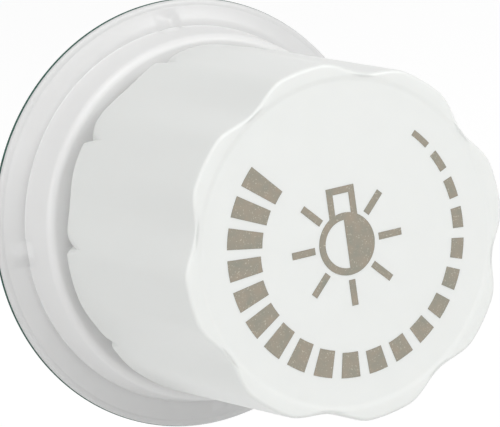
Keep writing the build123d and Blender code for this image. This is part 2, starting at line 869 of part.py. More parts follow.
def terminal_block():
    """Moulded block: one cavity, wire hole and screw well for each terminal."""
    low, high = -block_back, -block_back + block_depth
    half = block_height / 2
    body = block(-block_width / 2, block_width / 2, -half, half, low, high)
    body = chamfer(body.edges().filter_by(Axis.Z) + body.faces().sort_by(Axis.Z)[0].edges(), block_edge)
    ear_low, reach = cover_back + cover_wall, block_width / 2 + block_ear
    body += block(-reach, reach, -block_ear_width / 2, block_ear_width / 2,
                  ear_low, ear_low + block_ear_height)
    web_top = -half + terminal_head_inset + terminal_head + terminal_head_inset + terminal_web
    cage_mid = cage_back + cage_depth / 2
    cavity_high = cage_low + cage_height + 2 * cage_gap
    for i in range(terminal_count):
        x = terminal_x(i)
        side = cage_width / 2 + cage_gap
        body -= block(x - side, x + side, web_top, cavity_high, low + back_wall, high + 1)
        body -= disc(wire_hole_r, low - 1, low + back_wall + 0.1, x, wire_y)
        well = Rot(X=-90) * Cylinder(terminal_head_r + slide_gap, 2 * half,
                                     align=(Align.CENTER, Align.CENTER, Align.MAX))
        body -= Pos(x, web_top - terminal_web, cage_mid) * well
        hole = Rot(X=-90) * Cylinder(terminal_screw_r + running_gap, 4 * terminal_web)
        body -= Pos(x, web_top - terminal_web, cage_mid) * hole
    return body


def terminal_x(index):
    """Place of one terminal across the block."""
    return (index - (terminal_count - 1) / 2) * terminal_pitch


def terminal_cage(index):
    """Cage: the turning screw draws its threaded floor down, and its roof presses on the wire."""
    x = terminal_x(index)
    half = cage_width / 2
    low, high = cage_back, cage_back + cage_depth
    body = block(x - half, x + half, cage_low, cage_low + cage_height, low, high)
    window_low, window_high = cage_low + cage_floor, cage_low + cage_height - cage_roof
    body -= block(x - half + cage_side, x + half - cage_side, window_low, window_high, low - 1, high + 1)
    hole = Rot(X=90) * Cylinder(terminal_screw_r + running_gap, 4 * cage_floor)
    return body - Pos(x, cage_low, (low + high) / 2) * hole


def terminal_screw(index):
    """Captive slotted screw of one terminal, driven from below."""
    head_low = -block_height / 2 + terminal_head_inset
    length = contact_bar_low - terminal_end_gap - head_low
    screw = Cylinder(terminal_screw_r, length, align=(Align.CENTER, Align.CENTER, Align.MIN))
    screw += Cylinder(terminal_head_r, terminal_head, align=(Align.CENTER, Align.CENTER, Align.MIN))
    screw -= Pos(0, 0, terminal_slot_depth / 2) * Box(terminal_slot, 3 * terminal_head_r, terminal_slot_depth)
    return Pos(terminal_x(index), head_low, cage_back + cage_depth / 2) * Rot(X=-90) * screw


def contact_bars():
    """Brass bars from inside the cages, over the block and down into the board."""
    parts = []
    block_front = -block_back + block_depth
    low = cage_back
    for i in range(terminal_count):
        x0, x1 = terminal_x(i) - contact_bar_width / 2, terminal_x(i) + contact_bar_width / 2
        y0, y1 = contact_bar_low, contact_bar_low + contact_bar_thick
        bar = block(x0, x1, y0, y1, low, block_front + contact_bar_foot)
        drop = contact_bar_drop - contact_bar_thick
        bar += block(x0, x1, drop, y1, block_front, block_front + contact_bar_foot)
        bar += block(x0, x1, drop, contact_bar_drop, block_front, board_z - hole_gap)
        parts.append(bar)
    return together(parts)


pieces = {
    "knob_cap": knob_cap, "level_bars": level_bars, "lamp_symbol": lamp_symbol,
    "knob_spring": knob_spring, "shaft": shaft, "shaft_clip": shaft_clip,
    "plunger": plunger, "contact_bridge": contact_bridge, "return_spring": return_spring,
    "switch_case": switch_case, "switch_base": switch_base, "fixed_contacts": fixed_contacts,
    "front_housing": front_housing, "bezel_ring": bezel_ring, "face_gasket": face_gasket,
    "slip_washer": slip_washer, "ring_nut": ring_nut,
    "bushing": bushing, "lock_washer": lock_washer, "bushing_nut": bushing_nut,
    "control_case": control_case, "control_floor": control_floor,
    "resistor_track": resistor_track, "control_pins": control_pins,
    "wiper_rotor": wiper_rotor, "wiper_contact": wiper_contact,
    "circuit_board": circuit_board, "choke_bobbin": choke_bobbin, "choke_coil": choke_coil,
    "film_capacitor": film_capacitor, "triac": triac, "heat_sink": heat_sink,
    "resistors": resistors, "diac": diac, "fuse": fuse, "control_chip": control_chip,
    "trimmer_base": trimmer_base, "trimmer_rotor": trimmer_rotor,
    "rear_cover": rear_cover, "cover_screws": cover_screws,
    "terminal_block": terminal_block, "contact_bars": contact_bars,
}
shapes = {name: make() for name, make in pieces.items()}
for number in range(terminal_count):
    shapes[f"terminal_cage_{number + 1}"] = terminal_cage(number)
    shapes[f"terminal_screw_{number + 1}"] = terminal_screw(number)

os.makedirs("parts", exist_ok=True)
for name, shape in shapes.items():
    export_step(Rot(X=90) * shape, f"parts/{name}.step")
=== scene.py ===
import json
from math import cos, degrees, pi, radians, sin, sqrt, tan

import bmesh
import bpy
from mathutils import Matrix, Vector


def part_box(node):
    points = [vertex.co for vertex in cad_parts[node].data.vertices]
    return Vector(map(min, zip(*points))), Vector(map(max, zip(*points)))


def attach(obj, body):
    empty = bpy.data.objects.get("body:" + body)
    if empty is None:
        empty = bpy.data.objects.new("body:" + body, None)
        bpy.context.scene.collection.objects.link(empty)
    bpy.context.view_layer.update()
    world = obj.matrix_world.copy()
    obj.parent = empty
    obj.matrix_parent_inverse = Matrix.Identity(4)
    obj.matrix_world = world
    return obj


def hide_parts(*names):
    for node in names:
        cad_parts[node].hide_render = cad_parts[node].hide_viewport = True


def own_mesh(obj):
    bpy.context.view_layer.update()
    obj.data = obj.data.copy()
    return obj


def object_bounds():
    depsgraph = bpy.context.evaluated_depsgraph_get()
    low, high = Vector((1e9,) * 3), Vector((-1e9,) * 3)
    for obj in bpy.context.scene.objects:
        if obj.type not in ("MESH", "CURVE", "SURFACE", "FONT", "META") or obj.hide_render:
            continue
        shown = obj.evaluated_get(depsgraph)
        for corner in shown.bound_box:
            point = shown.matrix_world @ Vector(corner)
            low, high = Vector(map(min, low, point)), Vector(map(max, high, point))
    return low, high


# The row frame: -Y points out of the wall, +Z up, and everything is in metres.
# "front" is a height above the wall plate's face, so a point's Y is minus its front.
# "clock" is an angle in degrees, clockwise from the top as seen from the front.
# Lengths end in "* mm", apart from those of the board's small parts, which are plain millimetres.

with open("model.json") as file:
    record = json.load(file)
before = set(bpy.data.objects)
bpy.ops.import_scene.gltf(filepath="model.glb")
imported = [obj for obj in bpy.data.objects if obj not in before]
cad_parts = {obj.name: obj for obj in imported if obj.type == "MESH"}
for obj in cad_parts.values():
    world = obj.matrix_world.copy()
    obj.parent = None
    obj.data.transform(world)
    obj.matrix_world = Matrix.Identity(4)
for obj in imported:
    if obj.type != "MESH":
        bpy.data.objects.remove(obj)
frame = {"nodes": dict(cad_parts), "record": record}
cad_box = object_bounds()
mm = 0.001


def front_of(node):
    """Lowest and highest front of a CAD node."""
    low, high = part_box(node)
    return -high.y, -low.y


def reach_of(node):
    """Widest radius of a CAD node about the knob's axis."""
    low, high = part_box(node)
    return max(high.x, high.z, -low.x, -low.z)


# Knob
knob_low, face_front = front_of("knob_cap")
knob_base_r = 16.65 * mm
knob_face_r = 16.2 * mm
lobe_count = 8
lobe_phase = 15.0
crest_half = 6.5
lobe_depth_face = 1.0 * mm
lobe_depth_base = 0.35 * mm
groove_count = 10
groove_phase = 21.0
groove_depth = 0.8 * mm
groove_steep = 0.6 * mm
groove_gentle = 2.6 * mm
groove_rise = 2.8 * mm
groove_soft = 0.3 * mm
wall_rows = 60
face_round = 0.35 * mm
rim_round = 0.25 * mm
dish_r = 14.9 * mm
dish_depth = 0.1 * mm
dish_edge_out = 0.15 * mm
dish_edge = 0.7 * mm
skirt_inner_base = 13.7 * mm
skirt_inner_top = 13.5 * mm
roof_front = face_front - 2.3 * mm
hub_r = 5.5 * mm
hub_bore_r = 3.08 * mm
hub_taper = 0.2 * mm
hub_low = front_of("knob_spring")[0] - 0.3 * mm
hub_bore_depth = front_of("shaft")[1] + 0.3 * mm
web_count = 6
web_thick = 1.1 * mm
web_height = 3.6 * mm
web_corner = 0.8 * mm
groove_columns = range(-24, 12)
groove_column_step = 0.1

# Front housing
neck_r = 13.4 * mm
neck_bore_r = 11.7 * mm
neck_end = -9.0 * mm
lip_front = 1.1 * mm
collar_base_r = 17.85 * mm
collar_top_r = 17.3 * mm
collar_top = 5.5 * mm
collar_round = 0.9 * mm
collar_foot_round = 0.12 * mm
collar_foot_flare = 0.16 * mm
tower_r = 12.3 * mm
tower_inner_r = 11.0 * mm
tower_top = front_of("lock_washer")[0]
tower_roof = 2.0 * mm
tower_round = 0.6 * mm
cavity_low = -1.4 * mm
bushing_hole_r = 4.6 * mm
thread_pitch = 1.5 * mm
thread_depth = 0.45 * mm
thread_start = -1.0 * mm
thread_fade = 0.7 * mm
thread_end_gap = 0.2 * mm
thread_root_end = 0.82
thread_flank = 0.62
thread_rows = 150
neck_end_round = 0.3 * mm
key_floor_r = 12.6 * mm
key_half = 1.2 * mm
key_end = -0.2 * mm

# Bezel ring
bezel_seam_r = 17.9 * mm
bezel_r = reach_of("bezel_ring")
bezel_bore_r = 13.45 * mm
seam_dip = 0.12 * mm
seam_dip_width = 0.8 * mm
seam_overlap = 0.07 * mm
seam_step = 0.02 * mm
bezel_crown = 1.56 * mm
bezel_swell = 0.1 * mm
bezel_shoulder = 0.81 * mm
bezel_shoulder_r = bezel_r - 0.6 * mm
bezel_edge = 0.5 * mm
band_rows = 56
rebate_r = 18.6 * mm
rebate_front = 0.38 * mm
rib_count = 4
rib_half = 1.45 * mm
rib_rise = 0.4 * mm
rib_end_r = bezel_r - 0.6 * mm
rib_end_round = 1.1 * mm
rib_columns = 48
rib_column_step = 0.12
rib_foot_height = 1.5 * mm
rib_foot_rise = 0.3 * mm
rib_foot_low = bezel_crown - 0.2 * mm
rib_foot_sunk = 0.02 * mm
rib_foot_thick = 0.4 * mm

# Seal and ring nut
seal_width = 1.75 * mm
# The seal's lip reaches past the flange's edge, so its dark rubber also draws a painted shade line along
# the flange's back edge.
seal_r = bezel_r + 0.06 * mm
nut_r = reach_of("ring_nut")
nut_bore_r = 13.48 * mm
nut_notches = 6
nut_notch_half = 1.5 * mm
nut_notch_depth = 1.2 * mm
nut_chamfer = 0.4 * mm
grip_start = 2.6 * mm
grip_depth = 0.16 * mm
grip_step = 2.5

# Springs and coil
spring_turns = 3
spring_r = 4.25 * mm
spring_wire_r = 0.2 * mm
spring_steps = 45
spring_flat_turns = 0.7
choke_turns = 10
choke_steps = 48
choke_start = 215
choke_end = 228
choke_core_r = 1.5 * mm

# Board and small parts, in millimetres
spindle_tip = 0.004
lead_r = 0.22
fuse_wire_r = 0.06
chip_leg_r = 0.09
track_r = 0.05
board_back, board_front = (front / mm for front in front_of("circuit_board"))
axial_lift = 1.0
axial_drop = 1.3
resistor_x = (1.9, 4.1)
resistor_length = 3.6
resistor_lead_up = 2.45
resistor_bands = (("film_box", 0.42, 0.755), ("carbon_film", 1.15, 0.625),
                  ("trimmer_blue", 1.65, 0.625), ("bright_brass", 2.15, 0.625))
band_width = 0.24
band_rise = 0.012
diac_up = 4.3
diac_body_x = 2.6
diac_lead_x = (1.95, 5.25)
fuse_x = 6.9
fuse_low = -2.6
fuse_length = 6.4
fuse_glass_r = 0.88
fuse_coil_r = 0.12
fuse_coil_step = 1.3
fuse_coil_points = 25
fuse_pad_up = (-2.1, 3.3)
capacitor_span = ((-2.4, 3.9), (5.6, 9.2), (board_back - 8, board_back - 0.35))
capacitor_feet_x = (-1.9, 3.4)
triac_span = ((-3.5, 4.1), (-8.6, -6.0), (-11.7, -4.2))
triac_x = 0.3
triac_leg_pitch = 2.3
triac_leg_up = -7.3
chip_x = 2.8
chip_up = -4.0
chip_half = 1.2
chip_leg_pitch = 0.55
pin_x = -9.6
pin_pitch = 2.5
terminal_pitch = 5.6
terminal_bar_up = -4.55
terminal_half = 4.3
wire_up = 1.75
numeral_up = -2.3
numeral_size = 2.4
numeral_rise = 0.1 * mm
numeral_round = 0.03 * mm
partition_half = 0.3
cover_rim_r = (11.2, 12.0)
cover_rim_rise = 0.22
trimmer_x, trimmer_up = -4.6, 7.4
turning_r = 1.9
turning_half_angle = 130
turning_width = (0.1, 0.6)
turning_rise = 0.12
turning_steps = 36


def spot(radius, clock, front):
    """Point in the row frame from a radius, a clock angle and a front."""
    angle = radians(clock)
    return Vector((radius * sin(angle), -front, radius * cos(angle)))


# Materials

def blank(name, colour, roughness, metallic=0.0):
    """New material with a plain Principled shader; returns the material and its node tree."""
    material = bpy.data.materials.new(name)
    material.use_nodes = True
    shader = material.node_tree.nodes["Principled BSDF"]
    shader.inputs["Base Color"].default_value = (*colour, 1.0)
    shader.inputs["Roughness"].default_value = roughness
    shader.inputs["Metallic"].default_value = metallic
    material.diffuse_color = (*colour, 1.0)
    return material, material.node_tree


def shader_of(tree):
    """The tree's Principled shader."""
    return tree.nodes["Principled BSDF"]


def noise(tree, size, detail=3.0, stretch=None):
    """Noise in the object's own coordinates; size is that of its grains in metres."""
    coordinates = tree.nodes.new("ShaderNodeTexCoord")
    texture = tree.nodes.new("ShaderNodeTexNoise")
    texture.inputs["Scale"].default_value = 1.0 / size
    texture.inputs["Detail"].default_value = detail
    source = coordinates.outputs["Object"]
    if stretch:
        mapping = tree.nodes.new("ShaderNodeMapping")
        mapping.inputs["Scale"].default_value = stretch
        tree.links.new(source, mapping.inputs["Vector"])
        source = mapping.outputs["Vector"]
    tree.links.new(source, texture.inputs["Vector"])
    return texture.outputs["Fac"]


def turned_noise(tree, size):
    """Noise that changes only with the distance from the knob's axis, as turning marks do."""
    coordinates = tree.nodes.new("ShaderNodeTexCoord")
    flat = tree.nodes.new("ShaderNodeVectorMath")
    flat.operation = "MULTIPLY"
    flat.inputs[1].default_value = (1, 0, 1)
    length = tree.nodes.new("ShaderNodeVectorMath")
    length.operation = "LENGTH"
    texture = tree.nodes.new("ShaderNodeTexNoise")
    texture.noise_dimensions = "1D"
    texture.inputs["Scale"].default_value = 1.0 / size
    texture.inputs["Detail"].default_value = 4.0
    tree.links.new(coordinates.outputs["Object"], flat.inputs[0])
    tree.links.new(flat.outputs["Vector"], length.inputs[0])
    tree.links.new(length.outputs["Value"], texture.inputs["W"])
    return texture.outputs["Fac"]


def vary_colour(tree, source, dark, light):
    """Colour that runs between two tones with a texture."""
    ramp = tree.nodes.new("ShaderNodeValToRGB")
    ramp.color_ramp.elements[0].position = 0.2
    ramp.color_ramp.elements[1].position = 0.8
    ramp.color_ramp.elements[0].color = (*dark, 1.0)
    ramp.color_ramp.elements[1].color = (*light, 1.0)
    tree.links.new(source, ramp.inputs["Fac"])
    tree.links.new(ramp.outputs["Color"], shader_of(tree).inputs["Base Color"])


def vary_roughness(tree, source, low, high):
    """Roughness that runs between two values with a texture."""
    span = tree.nodes.new("ShaderNodeMapRange")
    span.inputs["From Min"].default_value = 0.15
    span.inputs["From Max"].default_value = 0.85
    span.inputs["To Min"].default_value = low
    span.inputs["To Max"].default_value = high
    tree.links.new(source, span.inputs["Value"])
    tree.links.new(span.outputs["Result"], shader_of(tree).inputs["Roughness"])


def bump(tree, source, depth, soft_edge=0.0):
    """Relief from a texture, in metres; soft_edge rounds sharp edges for the light."""
    node = tree.nodes.new("ShaderNodeBump")
    node.inputs["Strength"].default_value = 1.0
    node.inputs["Distance"].default_value = depth
    tree.links.new(source, node.inputs["Height"])
    if soft_edge:
        bevel = tree.nodes.new("ShaderNodeBevel")
        bevel.samples = 4
        bevel.inputs["Radius"].default_value = soft_edge
        tree.links.new(bevel.outputs["Normal"], node.inputs["Normal"])
    tree.links.new(node.outputs["Normal"], shader_of(tree).inputs["Normal"])


def shade(colour, factor):
    """A colour made darker or lighter."""
    return tuple(min(1.0, channel * factor) for channel in colour)


def moulded(name, colour, roughness, grain=0.25 * mm, depth=0.002 * mm, tone=0.03, soft_edge=0.0):
    """Moulded plastic: slight drift of tone, fine skin and uneven gloss."""
    material, tree = blank(name, colour, roughness)
    vary_colour(tree, noise(tree, 5 * mm), shade(colour, 1 - tone), shade(colour, 1 + tone / 2))
    vary_roughness(tree, noise(tree, 1.5 * mm), roughness - 0.04, roughness + 0.05)
    bump(tree, noise(tree, grain, detail=4.0), depth, soft_edge)
    shader_of(tree).inputs["IOR"].default_value = 1.5
    return material


def white_plastic(name, colour, roughness, glow):
    """Smooth white thermoplastic: light sinks in a little, with faint flow streaks along the draw."""
    material, tree = blank(name, colour, roughness)
    streaks = noise(tree, 2.5 * mm, detail=1.5, stretch=(1.0, 0.12, 1.0))
    tree.links.new(blend(tree, streaks, shade(colour, 0.985), shade(colour, 1.01)),
                   shader_of(tree).inputs["Base Color"])
    vary_roughness(tree, noise(tree, 6 * mm, detail=1.0), roughness - 0.02, roughness + 0.03)
    bump(tree, noise(tree, 0.35 * mm, detail=1.0), 0.0004 * mm)
    shader = shader_of(tree)
    shader.inputs["IOR"].default_value = 1.5
    shader.inputs["Subsurface Weight"].default_value = glow
    shader.inputs["Subsurface Radius"].default_value = (1.0, 0.95, 0.9)
    shader.inputs["Subsurface Scale"].default_value = 0.8 * mm
    return material


def metal(name, colour, roughness, turned=False, soft_edge=0.05 * mm, line=0.05 * mm, depth=0.002 * mm):
    """Metal with turning marks or drawn lines and uneven polish."""
    material, tree = blank(name, colour, roughness, metallic=1.0)
    marks = turned_noise(tree, line) if turned else noise(tree, line, stretch=(1.0, 0.08, 1.0))
    vary_colour(tree, noise(tree, 1.2 * mm), shade(colour, 0.86), shade(colour, 1.05))
    vary_roughness(tree, marks, roughness - 0.07, roughness + 0.12)
    bump(tree, marks, depth, soft_edge)
    return material


def math_node(tree, operation, *values):
    """Result of one math step on sockets or plain numbers."""
    node = tree.nodes.new("ShaderNodeMath")
    node.operation = operation
    for i, value in enumerate(values):
        if isinstance(value, (int, float)):
            node.inputs[i].default_value = value
        else:
            tree.links.new(value, node.inputs[i])
    return node.outputs[0]


def edge_share(tree, radius, gain):
    """0 on open surfaces, up to 1 within a radius of the piece's edges."""
    bevel = tree.nodes.new("ShaderNodeBevel")
    bevel.samples = 6
    bevel.inputs["Radius"].default_value = radius
    true_normal = tree.nodes.new("ShaderNodeNewGeometry")
    dot = tree.nodes.new("ShaderNodeVectorMath")
    dot.operation = "DOT_PRODUCT"
    tree.links.new(bevel.outputs["Normal"], dot.inputs[0])
    tree.links.new(true_normal.outputs["True Normal"], dot.inputs[1])
    lost = math_node(tree, "SUBTRACT", 1.0, dot.outputs["Value"])
    return math_node(tree, "MINIMUM", math_node(tree, "MULTIPLY", lost, gain), 1.0)


def blend(tree, share, first, second):
    """Colour socket between two colours, each a tuple or a socket."""
    node = tree.nodes.new("ShaderNodeMix")
    node.data_type = "RGBA"
    tree.links.new(share, node.inputs["Factor"])
    for name, value in (("A", first), ("B", second)):
        socket = [s for s in node.inputs if s.name == name and s.type == "RGBA"][0]
        if isinstance(value, tuple):
            socket.default_value = (*value, 1.0)
        else:
            tree.links.new(value, socket)
    return [s for s in node.outputs if s.type == "RGBA"][0]


def printed(name, colour):
    """Pad-printed ink, with painted shade along its edges and small pale specks of bare plastic."""
    material, tree = blank(name, colour, 0.5)
    cloud = math_node(tree, "MULTIPLY_ADD", noise(tree, 1.1 * mm, detail=6.0), 1.6, -0.3)
    tone = blend(tree, cloud, tuple(c * f for c, f in zip(colour, (0.82, 0.92, 0.93))),
                 tuple(c * f for c, f in zip(colour, (1.16, 1.04, 0.98))))
    # Painted shade: the ink is darkened within 0.11 mm of its edges, as if a raised print's edges were in
    # shade.
    rim = blend(tree, edge_share(tree, 0.11 * mm, 4.0), tone, shade(colour, 0.6))
    speck = math_node(tree, "MULTIPLY_ADD", noise(tree, 0.13 * mm, detail=2.0), 9.0, -5.7)
    speck = math_node(tree, "MINIMUM", math_node(tree, "MAXIMUM", speck, 0.0), 0.75)
    tree.links.new(blend(tree, speck, rim, shade(colour, 2.0)), shader_of(tree).inputs["Base Color"])
    bump(tree, noise(tree, 0.1 * mm), 0.003 * mm)
    return material


def rubber(name, colour):
    """Dull rubber with a fine pitted skin."""
    material, tree = blank(name, colour, 0.75)
    vary_colour(tree, noise(tree, 0.6 * mm), shade(colour, 0.7), shade(colour, 1.4))
    bump(tree, noise(tree, 0.08 * mm), 0.006 * mm)
    return material


def clear(name, colour):
    """Clear glass."""
    material, tree = blank(name, colour, 0.04)
    shader = shader_of(tree)
    shader.inputs["Transmission Weight"].default_value = 0.9
    shader.inputs["IOR"].default_value = 1.47
    vary_roughness(tree, noise(tree, 0.8 * mm), 0.02, 0.08)
    return material


def laminate(name, colour):
    """Circuit board: solder mask over the weave of the laminate."""
    material, tree = blank(name, colour, 0.3)
    vary_colour(tree, noise(tree, 0.5 * mm), shade(colour, 0.8), shade(colour, 1.25))
    bump(tree, noise(tree, 0.25 * mm, stretch=(1.0, 1.0, 3.0)), 0.006 * mm)
    shader_of(tree).inputs["Coat Weight"].default_value = 0.4
    return material


knob_white = (0.845, 0.860, 0.841)
ink_grey = (0.322, 0.296, 0.243)
look = {
    "knob_plastic": white_plastic("knob_plastic", knob_white, 0.30, 0.2),
    "print_ink": printed("print_ink", ink_grey),
    "collar_plastic": white_plastic("collar_plastic", (0.84, 0.84, 0.835), 0.36, 0.15),
    "bezel_plastic": white_plastic("bezel_plastic", (0.715, 0.715, 0.712), 0.34, 0.15),
    # Dark seal rubber: the real rubber, and also the colour of the painted shade line round the flange's
    # back edge.
    "seal_rubber": rubber("seal_rubber", (0.018, 0.075, 0.056)),
    "shaft_steel": metal("shaft_steel", (0.56, 0.56, 0.57), 0.28, turned=True),
    "spring_steel": metal("spring_steel", (0.50, 0.51, 0.53), 0.25),
    "zinc_steel": metal("zinc_steel", (0.62, 0.64, 0.65), 0.34, turned=True),
    "bright_brass": metal("bright_brass", (0.78, 0.56, 0.24), 0.27),
    "black_moulding": moulded("black_moulding", (0.025, 0.025, 0.028), 0.42, soft_edge=0.12 * mm),
    "grey_moulding": moulded("grey_moulding", (0.17, 0.175, 0.18), 0.45, depth=0.006 * mm,
                             tone=0.08, soft_edge=0.15 * mm),
    "nut_plastic": moulded("nut_plastic", (0.03, 0.031, 0.034), 0.4, depth=0.005 * mm,
                           tone=0.15, soft_edge=0.15 * mm),
    "carbon_film": moulded("carbon_film", (0.02, 0.02, 0.02), 0.6),
    "board_laminate": laminate("board_laminate", (0.02, 0.16, 0.07)),
    "ferrite": moulded("ferrite", (0.04, 0.04, 0.043), 0.5, depth=0.01 * mm, soft_edge=0.1 * mm),
    "copper_wire": metal("copper_wire", (0.70, 0.28, 0.12), 0.22),
    "film_box": moulded("film_box", (0.50, 0.14, 0.03), 0.3, soft_edge=0.2 * mm),
    "chip_black": moulded("chip_black", (0.02, 0.02, 0.021), 0.55, soft_edge=0.08 * mm),
    "sink_metal": metal("sink_metal", (0.74, 0.75, 0.76), 0.38),
    "resistor_coat": moulded("resistor_coat", (0.52, 0.40, 0.24), 0.25),
    "clear_glass": clear("clear_glass", (0.86, 0.92, 0.92)),
    "trimmer_blue": moulded("trimmer_blue", (0.02, 0.09, 0.36), 0.35, soft_edge=0.1 * mm),
    "trimmer_white": moulded("trimmer_white", (0.78, 0.78, 0.74), 0.4, soft_edge=0.08 * mm),
    "terminal_plastic": moulded("terminal_plastic", (0.42, 0.43, 0.42), 0.4, depth=0.004 * mm,
                                tone=0.06, soft_edge=0.15 * mm),
}
for part in frame["record"]["subparts"]:
    frame["nodes"][part["node"]].material_slots[0].material = look[part["material_slot"]]


# Mesh helpers

def piece(name, points, faces, slot, body, stands_for=(), crease=40.0):
    """Mesh object in the row frame, with its material, that rides on a body."""
    mesh = bpy.data.meshes.new(name)
    mesh.from_pydata([tuple(p) for p in points], [], faces)
    mesh.validate()
    mesh.materials.append(look[slot])
    mesh.shade_smooth()
    mesh.set_sharp_from_angle(angle=radians(crease))
    made = bpy.data.objects.new(name, mesh)
    bpy.context.scene.collection.objects.link(made)
    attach(made, body)
    if stands_for:
        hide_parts(*stands_for)
    return made


def wrapped_faces(rows, columns, closed_path=False):
    """Quads of a sheet that closes round the axis; with closed_path its rows close too."""
    faces = []
    for i in range(rows if closed_path else rows - 1):
        for j in range(columns):
            after, above = (j + 1) % columns, (i + 1) % rows
            here, there = i * columns, above * columns
            faces.append((here + j, here + after, there + after, there + j))
    return faces


def rounded_path(corners, steps=5):
    """Points of a closed outline; each corner is (radius from the axis, front, rounding)."""
    points = []
    count = len(corners)
    for i, (r, f, rounding) in enumerate(corners):
        here = Vector((r, f))
        before = Vector(corners[i - 1][:2]) - here
        after = Vector(corners[(i + 1) % count][:2]) - here
        if rounding <= 0:
            points.append((r, f))
            continue
        turn = before.angle(after)
        cut = rounding / tan(turn / 2)
        start, end = here + before.normalized() * cut, here + after.normalized() * cut
        centre = here + (before.normalized() + after.normalized()).normalized() * (rounding / sin(turn / 2))
        a, b = start - centre, end - centre
        sweep = a.angle(b)
        for k in range(steps + 1):
            share = k / steps
            p = centre + (a * sin((1 - share) * sweep) + b * sin(share * sweep)) / sin(sweep)
            points.append((p.x, p.y))
    return points


def lathe(name, corners, slot, body, stands_for=(), segments=180, steps=5, centre=(0, 0)):
    """Turned piece about the knob's axis, or about a parallel one at centre (x, z)."""
    path = rounded_path(corners, steps)
    shift = Vector((centre[0], 0, centre[1]))
    points = [spot(r, 360 * j / segments, f) + shift for r, f in path for j in range(segments)]
    return piece(name, points, wrapped_faces(len(path), segments, True), slot, body, stands_for)


# Knob

def valley_share(clock):
    """0 on a crest, 1 in the middle of a valley."""
    step = 360 / lobe_count
    off = abs((clock - lobe_phase + step / 2) % step - step / 2)
    half = step / 2 - crest_half
    return 0.0 if off >= half else (1 + cos(pi * off / half)) / 2


def knob_wall(clock, front):
    """Radius of the lobed wall with the petal notches that fade out above its foot."""
    share = (front - knob_low) / (face_front - knob_low)
    crest = knob_base_r + (knob_face_r - knob_base_r) * share
    depth = lobe_depth_base + (lobe_depth_face - lobe_depth_base) * share
    wall = crest - depth * valley_share(clock)
    step = 360 / groove_count
    off = (clock - groove_phase + step / 2) % step - step / 2
    across = knob_base_r * radians(off)
    tip = knob_base_r - groove_depth + groove_depth / groove_rise * (front - knob_low)
    if across < 0:
        flank = tip - groove_depth * across / groove_steep
    else:
        bow = min(across / groove_gentle, 1.0)
        flank = tip + groove_depth * (1 - (1 - bow) ** 2) + max(across - groove_gentle, 0)
    apart = max(groove_soft - abs(wall - flank), 0) / groove_soft
    return min(wall, flank) - apart ** 2 * groove_soft / 4


def knob_rows():
    """Rows of the knob's skin as (how far the row is a plain circle, inset or radius, front)."""
    rows = [(1, hub_r, roof_front), (1, skirt_inner_top - 0.5 * mm, roof_front),
            (1, skirt_inner_top - 0.12 * mm, roof_front - 0.12 * mm),
            (1, skirt_inner_top, roof_front - 0.5 * mm),
            (1, skirt_inner_base - 0.01 * mm, knob_low + 2 * rim_round),
            (1, skirt_inner_base, knob_low + rim_round)]
    for k in range(1, 6):
        a = radians(90 * k / 5)
        rows.append((1, skirt_inner_base + rim_round * (1 - cos(a)), knob_low + rim_round * (1 - sin(a))))
    for k in range(6):
        a = radians(90 * k / 5)
        rows.append((0, rim_round * (1 - sin(a)), knob_low + rim_round * (1 - cos(a))))
    wall_low, wall_high = knob_low + rim_round, face_front - face_round
    rows += [(0, 0, wall_low + (wall_high - wall_low) * k / wall_rows) for k in range(1, wall_rows + 1)]
    for k in range(1, 9):
        a = radians(90 * k / 8)
        rows.append((0, face_round * (1 - cos(a)), wall_high + face_round * sin(a)))
    for k in range(9):
        drop = dish_depth * (1 - cos(pi * k / 8)) / 2
        rows.append((1, dish_r + dish_edge_out - dish_edge * k / 8, face_front - drop))
    rows += [(1, r * mm, face_front - dish_depth) for r in (12, 9, 6, 3, 0.01)]
    return rows


def knob_shell():
    """Lobed skin of the knob, inside and out."""
    clocks = {j / 2 for j in range(720)}
    for i in range(groove_count):
        middle = groove_phase + 360 / groove_count * i
        clocks |= {round((middle + groove_column_step * k) % 360, 3) for k in groove_columns}
    clocks = sorted(clocks)
    rows = knob_rows()
    points = []
    for circle, size, front in rows:
        for clock in clocks:
            radius = size if circle else knob_wall(clock, front) - size
            points.append(spot(radius, clock, front))
    piece("knob_shell", points, wrapped_faces(len(rows), len(clocks)), "knob_plastic", "knob",
          ["knob_cap"], crease=50)


def knob_hub():
    """Hub that grips the shaft, and the thin webs that stiffen the roof."""
    corners = [(hub_bore_r, hub_low, 0.15 * mm), (hub_r, hub_low, 0.3 * mm),
               (hub_r + hub_taper, roof_front, 0),
               (0.01 * mm, roof_front, 0), (0.01 * mm, hub_bore_depth, 0), (hub_bore_r, hub_bore_depth, 0)]
    lathe("knob_hub", corners, "knob_plastic", "knob", segments=96)
    for i in range(web_count):
        clock = 360 / web_count * (i + 0.5)
        low, high = roof_front - web_height, roof_front + 0.1 * mm
        points, faces = [], []
        outline = [(hub_r - 0.3 * mm, high), (hub_r - 0.3 * mm, low + web_corner),
                   (hub_r + 1.2 * mm, low), (skirt_inner_top - 1.0 * mm, low),
                   (skirt_inner_top + 0.2 * mm, low + web_corner), (skirt_inner_top + 0.1 * mm, high)]
        side = spot(1, clock + 90, 0)
        for way in (-1, 1):
            points += [spot(r, clock, f) + side * (way * web_thick / 2) for r, f in outline]
        count = len(outline)
        faces.append(tuple(range(count))[::-1])
        faces.append(tuple(range(count, 2 * count)))
        faces += [(k, (k + 1) % count, count + (k + 1) % count, count + k) for k in range(count)]
        piece(f"knob_web_{i + 1}", points, faces, "knob_plastic", "knob", crease=20)


# Front housing

